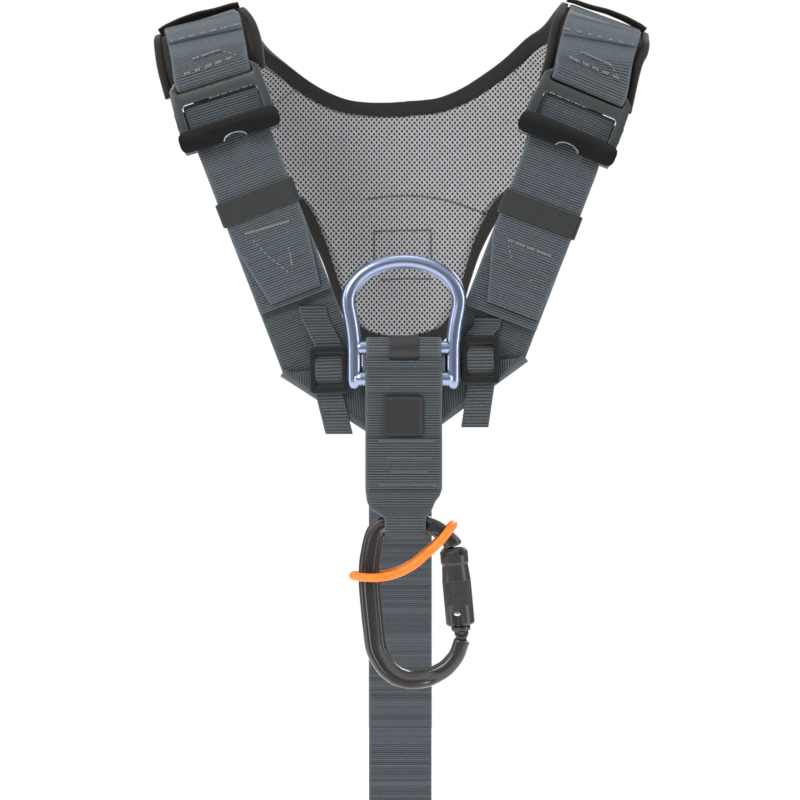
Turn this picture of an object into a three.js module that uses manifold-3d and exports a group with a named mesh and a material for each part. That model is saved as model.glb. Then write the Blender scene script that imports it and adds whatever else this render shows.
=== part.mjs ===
// Climbing chest harness: padded back yoke, shoulder straps, buckles, chest band, D-ring and carabiner.
// Millimetres, +Z up, +X to the right of the view, front towards -Y.
// The origin lies between the undersides of the two shoulder arches.
import * as THREE from 'three';
import { mergeVertices } from 'three/addons/utils/BufferGeometryUtils.js';
import Module from 'manifold-3d';

const wasm = await Module();
wasm.setup();

// Driving dimensions
const HALF_SPAN = 150; // middle to the outer edge of a shoulder
const YOKE_DROP = 190; // origin down to the lower edge of the yoke
const HALF_DEPTH = 50; // middle to the front or back plane
const PAD_T = 6; // padded yoke
const LINING_T = 1.5;
const BINDING_T = 1;
const BINDING_INNER = 8; // flap on the side of the wearer
const BINDING_OUTER = 3; // flap on the outside
const WEB_W = 45; // main webbing
const WEB_T = 2;
const DORSAL_W = 40;
const SMALL_W = 16; // small adjusting straps
const SMALL_T = 1.6;
const GAP = 0.3; // between touching pieces
const DORSAL_END = 486; // origin down to the free end of the dorsal strap
const STRAP_TILT = 21; // degrees from the vertical
const KEEPER_H = 14;
const KEEPER_T = 1.5;
const KEEPER_AT = 33.5; // along the strap from the buckle's lip
const FRAME_T = 3; // buckle frame
const FRAME_TOP_W = 55;
const FRAME_LOW_W = 58;
const TOP_BAR = 3;
const SLOT_H = 4.4;
const MIDDLE_BAR = 6.4;
const WINDOW_H = 18;
const LOW_BAR = 4;
const LIP_W = 61; // lower plate of the buckle
const LIP_H = 13;
const LIP_T = 4;
const RING_HALF_W = 33; // D-ring, to the middle of its bar
const RING_LEG = 28.9;
const RING_H = 76;
const RING_BAR = 8.6;
const RING_ARCH = 24; // rise of the D-ring's top over its widest place
const RING_WAIST = 37; // top down to where the sides turn in
const RING_STRAIGHT = 49; // top down to where the straight legs begin
const RING_FLARE = 1.4; // how much wider the waist is than the legs, each side
const UPPER_BAR_R = 4;
const LOWER_BAR_R = 4.5;
const ROLL_T = 2.2;
const SLIDER_W = 22;
const SLIDER_H = 28;
const SLIDER_T = 3;
const SLIDER_RIM = 4.4;
const PATCH = 23.5;
const PATCH_T = 1.6;
const LABEL_W = 17;
const CARABINER_BAR = 11;
const GATE_R = 4.25;
const SLEEVE_R = 8.4;
const SLEEVE_L = 45.5;
const GATE_L = 50;
const GATE_TILT = 5.4; // degrees, lower end further out
const SLEEVE_START = 4.2; // pin to the sleeve's lower end
const COLLAR_R = 5.6; // gate's collar under the sleeve
const COLLAR_LOW = 1;
const BAND_RING = 5; // silicone ring
const MERGE = 1e-4; // vertices closer than this are one
const rad = THREE.MathUtils.degToRad;

// Depth of each layer at the front, from the chest band outwards
const BAND_BACK_Y = -HALF_DEPTH;
const FOLD_R = (WEB_T + GAP * 4) / 2;
const BAND_FRONT_Y = BAND_BACK_Y - 2 * FOLD_R;
const STRAP_BACK_Y = BAND_BACK_Y - WEB_T - SMALL_T - 2 * GAP;
const STRAP_FRONT_Y = STRAP_BACK_Y - WEB_T - GAP;
const RING_Y = BAND_FRONT_Y - WEB_T / 2 - LOWER_BAR_R - ROLL_T - 3 * GAP - 0.2;

// Yoke rows from the front end of the left shoulder to the middle of the back.
// neck and edge: across as a share of HALF_SPAN, down as a share of YOKE_DROP. depth: share of HALF_DEPTH.
const YOKE_LEFT = [
  { neck: [-0.55, 0.125], edge: [-0.925, 0.22], depth: -1.0 },
  { neck: [-0.56, 0.055], edge: [-0.955, 0.13], depth: -0.99 },
  { neck: [-0.58, 0.0], edge: [-0.97, 0.065], depth: -0.88 },
  { neck: [-0.62, -0.055], edge: [-0.98, 0.03], depth: -0.5 },
  { neck: [-0.645, -0.08], edge: [-0.985, 0.01], depth: 0.0 },
  { neck: [-0.625, -0.055], edge: [-0.975, 0.03], depth: 0.5 },
  { neck: [-0.575, -0.005], edge: [-0.935, 0.085], depth: 0.84 },
  { neck: [-0.5, 0.04], edge: [-0.865, 0.175], depth: 1.0 },
  { neck: [-0.405, 0.098], edge: [-0.76, 0.3], depth: 1.03 },
  { neck: [-0.32, 0.138], edge: [-0.645, 0.4], depth: 1.03 },
  { neck: [-0.23, 0.165], edge: [-0.53, 0.478], depth: 1.03 },
  { neck: [-0.143, 0.174], edge: [-0.427, 0.545], depth: 1.03 },
  { neck: [-0.09, 0.175], edge: [-0.338, 0.68], depth: 1.03 },
  { neck: [-0.052, 0.175], edge: [-0.28, 0.81], depth: 1.03 },
  { neck: [-0.028, 0.174], edge: [-0.235, 0.89], depth: 1.03 },
  { neck: [-0.012, 0.173], edge: [-0.17, 0.965], depth: 1.03 },
  { neck: [0.0, 0.173], edge: [0.0, 1.0], depth: 1.03 },
];
const YOKE_RIGHT = [
  { neck: [0.55, 0.165], edge: [0.895, 0.265], depth: -1.0 },
  { neck: [0.575, 0.095], edge: [0.938, 0.12], depth: -0.985 },
  { neck: [0.595, 0.01], edge: [0.965, 0.075], depth: -0.88 },
  { neck: [0.63, -0.06], edge: [0.978, 0.035], depth: -0.5 },
  { neck: [0.65, -0.1], edge: [0.988, 0.0], depth: 0.0 },
  { neck: [0.635, -0.1], edge: [0.98, 0.025], depth: 0.5 },
  { neck: [0.595, -0.07], edge: [0.935, 0.085], depth: 0.84 },
  { neck: [0.54, -0.045], edge: [0.86, 0.18], depth: 1.0 },
  { neck: [0.436, 0.03], edge: [0.76, 0.3], depth: 1.03 },
  { neck: [0.347, 0.082], edge: [0.65, 0.392], depth: 1.03 },
  { neck: [0.254, 0.128], edge: [0.542, 0.466], depth: 1.03 },
  { neck: [0.161, 0.158], edge: [0.427, 0.527], depth: 1.03 },
  { neck: [0.1, 0.166], edge: [0.335, 0.65], depth: 1.03 },
  { neck: [0.055, 0.169], edge: [0.286, 0.76], depth: 1.03 },
  { neck: [0.028, 0.17], edge: [0.252, 0.847], depth: 1.03 },
  { neck: [0.013, 0.172], edge: [0.175, 0.955], depth: 1.03 },
];
const TOP_ROW = 4;
const LAST_ROW = YOKE_LEFT.length - 1;

// Where each side's parts sit: shares of HALF_SPAN and YOKE_DROP, angles in degrees, lengths in mm.
// small, slider and smallEnd: mm outwards from the place beside the D-ring, and a share of YOKE_DROP.
const SIDES = {
  left: {
    sign: -1, rows: YOKE_LEFT, buckleTilt: 17.5, window: [-0.719, 0.215], lip: [-0.663, 0.349],
    corner: 139.3, strapEnd: 103, tailEnd: 99, tailShift: 1.3,
    small: [10.05, 0.868], slider: [0, 1.067], sliderTilt: -2, smallEnd: [-6.15, 1.266],
  },
  right: {
    sign: 1, rows: YOKE_RIGHT, buckleTilt: 22.8, window: [0.703, 0.247], lip: [0.639, 0.386],
    corner: 122.4, strapEnd: 106, tailEnd: 99.8, tailShift: 5.2,
    small: [5.65, 0.905], slider: [1, 1.036], sliderTilt: -1, smallEnd: [-2.3, 1.245],
  },
};
const RING_MIDDLE = 1;
const RING_TOP_Z = -0.732 * YOKE_DROP;
const UPPER_BAR_Z = -1.0 * YOKE_DROP;
const LOWER_BAR_Z = -1.095 * YOKE_DROP;
const EYE_Z = -1.545 * YOKE_DROP;

const vec = (x, y, z) => new THREE.Vector3(x, y, z);

function finish(positions, triangles) {
  const geometry = new THREE.BufferGeometry();
  geometry.setAttribute('position', new THREE.Float32BufferAttribute(positions, 3));
  geometry.setIndex(triangles);
  geometry.computeVertexNormals();
  return geometry;
}

// Closed solid from a list of rings of points; loop joins the last ring to the first
function loft(rings, loop = false) {
  const count = rings[0].length;
  const positions = rings.flat().flatMap((p) => [p.x, p.y, p.z]);
  const triangles = [];
  const spans = loop ? rings.length : rings.length - 1;
  for (let i = 0; i < spans; i += 1) {
    const here = i * count;
    const next = ((i + 1) % rings.length) * count;
    for (let j = 0; j < count; j += 1) {
      const k = (j + 1) % count;
      triangles.push(here + j, next + j, here + k, here + k, next + j, next + k);
    }
  }
  if (!loop) {
    [0, rings.length - 1].forEach((index) => {
      const ring = rings[index];
      const middle = ring.reduce((sum, p) => sum.clone().add(p), vec(0, 0, 0)).divideScalar(count);
      const axisX = ring[1].clone().sub(ring[0]).normalize();
      const normal = newell(ring);
      const axisY = normal.clone().cross(axisX);
      const flat = ring.map((p) => {
        const offset = p.clone().sub(middle);
        return new THREE.Vector2(offset.dot(axisX), offset.dot(axisY));
      });
      const faces = THREE.ShapeUtils.triangulateShape(flat, []);
      const turn = index === 0 ? 1 : -1;
      faces.forEach(([a, b, c]) => {
        const base = index * count;
        const out = turn > 0 ? [a, b, c] : [a, c, b];
        triangles.push(...out.map((n) => base + n));
      });
    });
  }
  return outward(positions, triangles);
}

function newell(ring) {
  const sum = vec(0, 0, 0);
  ring.forEach((p, i) => {
    const q = ring[(i + 1) % ring.length];
    sum.add(p.clone().cross(q));
  });
  return sum.normalize();
}

// Turns the faces so that they point out
function outward(positions, triangles) {
  let volume = 0;
  const at = (n) => vec(positions[3 * n], positions[3 * n + 1], positions[3 * n + 2]);
  for (let i = 0; i < triangles.length; i += 3) {
    const [a, b, c] = [at(triangles[i]), at(triangles[i + 1]), at(triangles[i + 2])];
    volume += a.dot(b.cross(c));
  }
  if (volume < 0) {
    for (let i = 0; i < triangles.length; i += 3) {
      [triangles[i + 1], triangles[i + 2]] = [triangles[i + 2], triangles[i + 1]];
    }
  }
  return finish(positions, triangles);
}

// Webbing of one thickness through rows of two edge points
function ribbon(rows, thickness, loop = false, columns = 1) {
  const count = rows.length;
  const middles = rows.map((row) => row.a.clone().add(row.b).multiplyScalar(0.5));
  const rings = rows.map((row, i) => {
    const before = loop ? middles[(i + count - 1) % count] : middles[Math.max(i - 1, 0)];
    const after = loop ? middles[(i + 1) % count] : middles[Math.min(i + 1, count - 1)];
    const across = row.b.clone().sub(row.a).normalize();
    const normal = across.clone().cross(after.clone().sub(before)).normalize();
    if (row.out) {
      const turn = Math.sign(row.out.dot(normal)) || 1;
      normal.copy(row.out).multiplyScalar(turn);
    }
    const half = thickness / 2;
    const top = [];
    const low = [];
    for (let c = 0; c <= columns; c += 1) {
      const p = row.a.clone().lerp(row.b, c / columns);
      top.push(p.clone().addScaledVector(normal, half));
      low.push(p.clone().addScaledVector(normal, -half));
    }
    return [...top, ...low.reverse()];
  });
  return loft(rings, loop);
}

// Bar of round section along a list of points in a plane; across is the plane's normal
function bar(points, widths, depth, sides, across) {
  const rings = points.map((p, i) => {
    const before = points[Math.max(i - 1, 0)];
    const after = points[Math.min(i + 1, points.length - 1)];
    const along = after.clone().sub(before).normalize();
    const side = across.clone().cross(along).normalize();
    return Array.from({ length: sides }, (_, k) => {
      const angle = ((k + 0.5) / sides) * 2 * Math.PI;
      return p.clone()
        .addScaledVector(side, (Math.cos(angle) * widths[i]) / 2)
        .addScaledVector(across, (Math.sin(angle) * depth) / 2);
    });
  });
  return loft(rings);
}

function toSolid(geometry) {
  const plain = geometry.clone();
  plain.deleteAttribute('normal');
  plain.deleteAttribute('uv');
  const merged = mergeVertices(plain, MERGE);
  return new wasm.Manifold(new wasm.Mesh({
    numProp: 3,
    vertProperties: new Float32Array(merged.attributes.position.array),
    triVerts: new Uint32Array(merged.index.array),
  }));
}

function fromSolid(solid) {
  const mesh = solid.getMesh();
  return finish(Array.from(mesh.vertProperties), Array.from(mesh.triVerts));
}

const joined = (...parts) => fromSolid(parts.map(toSolid).reduce((sum, part) => sum.add(part)));
const cut = (body, ...tools) => {
  const start = toSolid(body);
  return fromSolid(tools.map(toSolid).reduce((rest, tool) => rest.subtract(tool), start));
};

function rounded(width, height, radius, steps = 3) {
  const shape = new THREE.Shape();
  const x = width / 2;
  const y = height / 2;
  const turn = (cx, cy, from) => {
    for (let i = 0; i <= steps; i += 1) {
      const angle = from + (i / steps) * (Math.PI / 2);
      const px = cx + radius * Math.cos(angle);
      const py = cy + radius * Math.sin(angle);
      if (i === 0 && from === 0) shape.moveTo(px, py);
      else shape.lineTo(px, py);
    }
  };
  turn(x - radius, y - radius, 0);
  turn(-x + radius, y - radius, Math.PI / 2);
  turn(-x + radius, -y + radius, Math.PI);
  turn(x - radius, -y + radius, 1.5 * Math.PI);
  return shape;
}

// Extrudes a shape drawn across X and Z towards the viewer
function plate(shape, depth, front = 0) {
  const geometry = new THREE.ExtrudeGeometry(shape, { depth, bevelEnabled: false, curveSegments: 8 });
  geometry.rotateX(Math.PI / 2);
  geometry.translate(0, -front, 0);
  return geometry;
}

const harness = new THREE.Group();

function add(name, geometry, look, place = (mesh) => mesh) {
  const material = new THREE.MeshStandardMaterial(look);
  const mesh = new THREE.Mesh(geometry, material);
  mesh.name = name;
  place(mesh);
  harness.add(mesh);
}

const LOOKS = {
  web: { color: 0x4b525a, roughness: 0.85, metalness: 0 },
  darkWeb: { color: 0x32353a, roughness: 0.88, metalness: 0 },
  fabric: { color: 0x3c3b39, roughness: 0.9, metalness: 0 },
  mesh: { color: 0x96939a, roughness: 0.95, metalness: 0 },
  binding: { color: 0x242220, roughness: 0.85, metalness: 0 },
  elastic: { color: 0x343535, roughness: 0.9, metalness: 0 },
  matt: { color: 0x464848, roughness: 0.5, metalness: 0.9 },
  gloss: { color: 0x1e1e1e, roughness: 0.15, metalness: 0.6 },
  plastic: { color: 0x202020, roughness: 0.45, metalness: 0 },
  blue: { color: 0x8296be, roughness: 0.25, metalness: 1 },
  rubber: { color: 0x303032, roughness: 0.7, metalness: 0 },
  orange: { color: 0xff9632, roughness: 0.5, metalness: 0 },
  body: { color: 0x39393b, roughness: 0.35, metalness: 0.9 },
};

// Yoke
const rowPoint = (pair, depth) => vec(pair[0] * HALF_SPAN, depth * HALF_DEPTH, -pair[1] * YOKE_DROP);
const curves = {};
Object.entries(SIDES).forEach(([name, side]) => {
  const rows = name === 'left' ? side.rows : [...side.rows, YOKE_LEFT[LAST_ROW]];
  curves[name] = {
    neck: new THREE.CatmullRomCurve3(rows.map((row) => rowPoint(row.neck, row.depth)), false, 'centripetal'),
    edge: new THREE.CatmullRomCurve3(rows.map((row) => rowPoint(row.edge, row.depth)), false, 'centripetal'),
  };
});

// A point on the yoke: row number, share across from the neck to the outer edge, height off the middle
function yokeFrame(name, row) {
  const t = THREE.MathUtils.clamp(row / LAST_ROW, 0, 1);
  const neck = curves[name].neck.getPoint(t);
  const edge = curves[name].edge.getPoint(t);
  const step = 0.02;
  const low = Math.max(t - step, 0);
  const high = Math.min(t + step, 1);
  const ahead = curves[name].neck.getPoint(high).add(curves[name].edge.getPoint(high));
  const behind = curves[name].neck.getPoint(low).add(curves[name].edge.getPoint(low));
  const along = ahead.sub(behind).normalize();
  const across = edge.clone().sub(neck).normalize();
  const out = across.clone().cross(along).normalize().multiplyScalar(name === 'left' ? -1 : 1);
  return { neck, edge, across, along, out, middle: neck.clone().add(edge).multiplyScalar(0.5) };
}

const YOKE_STEPS = 3; // sections from one row of the tables to the next
const COLUMNS = 3; // across the yoke and the webbing on it
const TUCKED = 0.22; // share of the small strap's upper run that lies behind the band
const yokeRows = [];
for (let i = 0; i <= LAST_ROW * YOKE_STEPS; i += 1) yokeRows.push(yokeFrame('left', i / YOKE_STEPS));
for (let i = LAST_ROW * YOKE_STEPS - 1; i >= 0; i -= 1) yokeRows.push(yokeFrame('right', i / YOKE_STEPS));

// Sheet over the yoke between two heights, with a margin at both edges
function yokeSheet(low, high, margin) {
  const rings = yokeRows.map((row) => {
    const a = row.neck.clone().addScaledVector(row.across, margin);
    const b = row.edge.clone().addScaledVector(row.across, -margin);
    const top = [];
    const under = [];
    for (let c = 0; c <= COLUMNS; c += 1) {
      const p = a.clone().lerp(b, c / COLUMNS);
      top.push(p.clone().addScaledVector(row.out, high));
      under.push(p.clone().addScaledVector(row.out, low));
    }
    return [...top, ...under.reverse()];
  });
  return loft(rings);
}

// Folded binding clasping one edge of the yoke
function binding(which, turn) {
  const inner = PAD_T / 2 + GAP * 2;
  const outer = inner + BINDING_T;
  const beside = GAP * 2;
  const section = [
    [-BINDING_OUTER, inner], [beside, inner], [beside, -inner], [-BINDING_INNER, -inner],
    [-BINDING_INNER, -outer], [beside + BINDING_T, -outer], [beside + BINDING_T, outer],
    [-BINDING_OUTER, outer],
  ];
  const rings = yokeRows.map((row) => section.map(([w, h]) => row[which].clone()
    .addScaledVector(row.across, w * turn)
    .addScaledVector(row.out, h)));
  return loft(rings);
}

const LINING_LOW = -PAD_T / 2 - GAP - LINING_T;
const LINING_HIGH = -PAD_T / 2 - GAP;
add('yoke_pad', yokeSheet(-PAD_T / 2, PAD_T / 2, 0), LOOKS.fabric);
add('yoke_lining', yokeSheet(LINING_LOW, LINING_HIGH, BINDING_INNER + GAP), LOOKS.mesh);
add('neck_binding', binding('neck', -1), LOOKS.binding);
add('edge_binding', binding('edge', 1), LOOKS.binding);

// Places along a straight strap or in a buckle's plane
function planeFrame(side, origin, tilt) {
  const angle = rad(tilt) * side.sign;
  const down = vec(-Math.sin(angle), 0, -Math.cos(angle));
  const across = vec(Math.cos(angle), 0, -Math.sin(angle));
  const start = vec(origin[0] * HALF_SPAN, 0, -origin[1] * YOKE_DROP);
  const at = (u, w, y) => start.clone().addScaledVector(down, u).addScaledVector(across, w).setY(y);
  const row = (u, y, half, shift = 0) => ({ a: at(u, shift - half, y), b: at(u, shift + half, y) });
  return { at, row, angle, down, across, start };
}

const BUCKLE_Y = STRAP_FRONT_Y - WEB_T / 2 - GAP; // back face of the frame
const BAR_FRONT_Y = BUCKLE_Y + WEB_T + 2 * GAP;
const BAR_T = 2.5;
const LOOP_R = (BAR_T + WEB_T + 2 * GAP) / 2;
const LOOP_Y = BAR_FRONT_Y + BAR_T / 2;
const FRAME_TOP = TOP_BAR + SLOT_H + MIDDLE_BAR;
const HALF_WEB = WEB_W / 2;
const TURN_STEPS = 4;

function shoulderParts(name, side) {
  const pad = (row, w, h) => {
    const f = yokeFrame(name, row);
    return f.middle.clone().addScaledVector(f.across, w).addScaledVector(f.out, h);
  };
  const padRow = (row, h) => ({
    a: pad(row, -HALF_WEB * side.sign, h),
    b: pad(row, HALF_WEB * side.sign, h),
    out: yokeFrame(name, row).out,
  });
  const buckle = planeFrame(side, side.window, side.buckleTilt);
  const first = PAD_T / 2 + GAP + WEB_T / 2;
  const second = first + WEB_T + GAP;
  const third = second + WEB_T + GAP;
  const barU = -FRAME_TOP + TOP_BAR / 2;
  const barY = BUCKLE_Y - FRAME_T / 2;
  const turnR = (Math.hypot(TOP_BAR, FRAME_T) + WEB_T) / 2 + GAP;

  // Webbing looped round the buckle's top bar, both ends sewn under the hem
  const loopRows = [];
  [7, 6, 5, 4, 3].forEach((row) => loopRows.push(padRow(row / YOKE_STEPS, second)));
  loopRows.push(buckle.row(barU - TOP_BAR, barY - turnR, HALF_WEB));
  for (let i = 0; i <= TURN_STEPS; i += 1) {
    const angle = (i / TURN_STEPS) * Math.PI;
    loopRows.push(buckle.row(barU + turnR * Math.sin(angle), barY - turnR * Math.cos(angle), HALF_WEB));
  }
  [3, 4, 5, 6, 7].forEach((row) => loopRows.push(padRow(row / YOKE_STEPS, first)));
  add(`buckle_webbing_${name}`, ribbon(loopRows, WEB_T, false, COLUMNS), LOOKS.web);

  // Shoulder webbing from the hem over the arch and down the back of the yoke
  const overRows = [];
  for (let row = 5; row <= 7; row += 1) overRows.push(padRow(row / YOKE_STEPS, third));
  for (let row = 9; row <= 25; row += 1) overRows.push(padRow(row / YOKE_STEPS, first));
  const backY = 1.03 * HALF_DEPTH + first;
  const meet = side.sign * 1;
  const ends = { a: vec(meet, backY, -0.36 * YOKE_DROP), b: vec(meet, backY, -0.66 * YOKE_DROP) };
  overRows.push(side.sign < 0 ? { a: ends.b, b: ends.a } : ends);
  add(`shoulder_webbing_${name}`, ribbon(overRows, WEB_T, false, COLUMNS), LOOKS.web);

  // Thin keeper arched over the top of the shoulder
  const ARCH = [
    { across: -0.57, height: 0.6 }, { across: -0.53, height: 0.8 }, { across: -0.49, height: 1.15 },
    { across: -0.25, height: 1.75 }, { across: 0, height: 1.85 }, { across: 0.25, height: 1.3 },
    { across: 0.49, height: 1.2 }, { across: 0.53, height: 1 }, { across: 0.57, height: 0.9 },
  ];
  const rise = WEB_T + GAP;
  const archRows = ARCH.map((row) => {
    const w = -row.across * WEB_W;
    const h = PAD_T / 2 + GAP + WEB_T / 2 + BINDING_T + GAP + row.height * rise;
    return { a: pad(TOP_ROW - 0.42, w, h), b: pad(TOP_ROW + 0.42, w, h) };
  });
  add(`shoulder_keeper_${name}`, ribbon(archRows, WEB_T * 0.9), LOOKS.fabric);

  // Buckle frame with an upper slot and a lower window
  const high = FRAME_TOP;
  const low = -WINDOW_H - LOW_BAR;
  const outline = new THREE.Shape();
  const chamfer = 4;
  outline.moveTo(-FRAME_TOP_W / 2 + chamfer, high);
  outline.lineTo(FRAME_TOP_W / 2 - chamfer, high);
  outline.lineTo(FRAME_TOP_W / 2, high - chamfer);
  outline.lineTo(FRAME_LOW_W / 2, -WINDOW_H * 0.72);
  outline.lineTo(HALF_WEB + 1.6, low);
  outline.lineTo(-HALF_WEB - 1.6, low);
  outline.lineTo(-FRAME_LOW_W / 2, -WINDOW_H * 0.72);
  outline.lineTo(-FRAME_TOP_W / 2, high - chamfer);
  outline.closePath();
  const slot = rounded(WEB_W + 2, SLOT_H, 2);
  const windowHole = rounded(WEB_W + 1.2, WINDOW_H, 2.5);
  const moved = (shape, z) => shape.getPoints().map((p) => new THREE.Vector2(p.x, p.y + z));
  outline.holes.push(new THREE.Path(moved(slot, MIDDLE_BAR + SLOT_H / 2)));
  outline.holes.push(new THREE.Path(moved(windowHole, -WINDOW_H / 2)));
  const place = (mesh) => {
    mesh.position.copy(buckle.start);
    mesh.rotation.y = buckle.angle;
  };
  add(`buckle_frame_${name}`, plate(outline, FRAME_T, -BUCKLE_Y), LOOKS.matt, place);

  // Slider: a lip in front, joined at both ends to the wide bar that the strap turns over
  const lipFront = FRAME_T + GAP;
  const barTop = LOOP_R - WEB_T / 2 + 1.5;
  const lipZ = -WINDOW_H * 0.86 - LIP_H / 2;
  const lipShape = rounded(LIP_W, LIP_H, 4.5);
  const notch = new THREE.CylinderGeometry(7, 7, 3 * LIP_T, 16);
  notch.scale(1, 1, 0.55);
  notch.translate(2, BUCKLE_Y - lipFront - LIP_T / 2, lipZ - LIP_H / 2);
  const lip = plate(lipShape, LIP_T, -BUCKLE_Y + lipFront);
  lip.translate(0, 0, lipZ);
  const barGeometry = new THREE.BoxGeometry(LIP_W - 3, BAR_T, -lipZ + LIP_H / 2 - barTop - GAP);
  barGeometry.translate(0, BAR_FRONT_Y + BAR_T / 2, (-barTop + lipZ - LIP_H / 2 + GAP) / 2);
  const armDepth = BAR_FRONT_Y + BAR_T - (BUCKLE_Y - lipFront - LIP_T) - 1;
  const arms = [-1, 1].map((end) => {
    const armW = (LIP_W - 3) / 2 - HALF_WEB - 2.4;
    const arm = new THREE.BoxGeometry(armW, armDepth, LIP_H - 6.2);
    arm.translate(end * (HALF_WEB + 2.4 + armW / 2), BAR_FRONT_Y + BAR_T - armDepth / 2 - 0.5, lipZ - 2.6);
    return arm;
  });
  add(`buckle_slider_${name}`, cut(joined(lip, barGeometry, ...arms), notch), LOOKS.gloss, place);

  // Adjuster strap: up behind, over the bar, and down in front as the free tail
  const strap = planeFrame(side, side.lip, STRAP_TILT);
  const backY2 = LOOP_Y + LOOP_R;
  const frontY = LOOP_Y - LOOP_R;
  const rows = [
    strap.row(side.strapEnd, STRAP_BACK_Y, HALF_WEB),
    strap.row(KEEPER_AT + KEEPER_H, STRAP_BACK_Y, HALF_WEB),
    strap.row(KEEPER_AT - 4, STRAP_BACK_Y, HALF_WEB),
    strap.row(10, (STRAP_BACK_Y + backY2) / 2 + 0.4, HALF_WEB),
    buckle.row(LIP_H + WINDOW_H * 0.86, backY2, HALF_WEB),
  ];
  const turnU = barTop + 0.2;
  for (let i = 0; i <= TURN_STEPS; i += 1) {
    const angle = (i / TURN_STEPS) * Math.PI;
    rows.push(buckle.row(turnU - LOOP_R * Math.sin(angle), LOOP_Y + LOOP_R * Math.cos(angle), HALF_WEB));
  }
  rows.push(buckle.row(WINDOW_H, frontY, HALF_WEB));
  rows.push(strap.row(6, STRAP_FRONT_Y, HALF_WEB));
  rows.push(strap.row(KEEPER_AT, STRAP_FRONT_Y, HALF_WEB));
  rows.push(strap.row(side.tailEnd * 0.6, STRAP_FRONT_Y, HALF_WEB));
  rows.push(strap.row(side.tailEnd, STRAP_FRONT_Y, WEB_W * 0.35, side.tailShift));
  add(`adjuster_strap_${name}`, ribbon(rows, WEB_T), LOOKS.web);

  // Elastic keeper round both runs of the adjuster strap
  const depth = STRAP_BACK_Y - STRAP_FRONT_Y + WEB_T + 2 * GAP;
  const ring = rounded(WEB_W + 2 * GAP + 2 * KEEPER_T, depth + 2 * KEEPER_T, 1.4);
  ring.holes.push(new THREE.Path(rounded(WEB_W + 2 * GAP, depth, 0.2, 1).getPoints()));
  const keeper = new THREE.ExtrudeGeometry(ring, { depth: KEEPER_H, bevelEnabled: false });
  keeper.rotateX(Math.PI);
  keeper.translate(0, (STRAP_BACK_Y + STRAP_FRONT_Y) / 2, 0);
  add(`elastic_keeper_${name}`, keeper, LOOKS.elastic, (mesh) => {
    mesh.position.copy(strap.at(KEEPER_AT, 0, 0));
    mesh.rotation.y = strap.angle;
  });

  // Small adjusting strap through its square slider, with a free tail
  const beside = RING_LEG + (RING_BAR + SLIDER_W) / 2;
  const besideX = (outwards) => RING_MIDDLE + side.sign * (beside + outwards);
  const sliderAt = [besideX(side.slider[0]) / HALF_SPAN, side.slider[1]];
  const slider = planeFrame(side, sliderAt, side.sliderTilt * side.sign);
  const start = vec(besideX(side.small[0]), 0, -side.small[1] * YOKE_DROP);
  const end = vec(besideX(side.smallEnd[0]), 0, -side.smallEnd[1] * YOKE_DROP);
  const smallRow = (point, y) => ({
    a: vec(point.x - SMALL_W / 2, y, point.z), b: vec(point.x + SMALL_W / 2, y, point.z),
  });
  const lowY = BAND_FRONT_Y - WEB_T / 2 - GAP - SMALL_T / 2;
  const faceY = lowY - SMALL_T / 2 - GAP;
  const overY = faceY - SLIDER_T / 2 + 0.3 - SMALL_T / 2;
  const tuckedY = BAND_BACK_Y - WEB_T / 2 - GAP - SMALL_T / 2;
  const smallRows = [smallRow(start, tuckedY), smallRow(start.clone().lerp(slider.start, TUCKED), tuckedY)];
  const PATH = [
    { along: -0.55, rise: 0 }, { along: -0.31, rise: 0.05 }, { along: -0.17, rise: 0.85 },
    { along: -0.1, rise: 1 }, { along: 0.1, rise: 1 }, { along: 0.17, rise: 0.85 },
    { along: 0.31, rise: 0.05 }, { along: 0.55, rise: 0 },
  ];
  PATH.forEach((row) => {
    const y = lowY + (overY - lowY) * row.rise;
    smallRows.push(slider.row(row.along * SLIDER_H, y, SMALL_W / 2));
  });
  smallRows.push(smallRow(end, lowY));
  add(`small_strap_${name}`, ribbon(smallRows, SMALL_T), LOOKS.darkWeb);
  const square = rounded(SLIDER_W, SLIDER_H, 2);
  const hole = rounded(SLIDER_W - 2 * SLIDER_RIM + 3.4, SLIDER_H - 2 * SLIDER_RIM, 1.5);
  square.holes.push(new THREE.Path(hole.getPoints()));
  const post = new THREE.BoxGeometry(SLIDER_W - 2, SLIDER_T / 2 - 0.5, SLIDER_H * 0.17);
  post.translate(0, faceY - (SLIDER_T / 2 - 0.5) / 2, 0);
  add(`small_slider_${name}`, joined(plate(square, SLIDER_T, -faceY), post), LOOKS.plastic, (mesh) => {
    mesh.position.copy(slider.start);
    mesh.rotation.y = slider.angle;
  });
}
Object.entries(SIDES).forEach(([name, side]) => shoulderParts(name, side));

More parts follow.
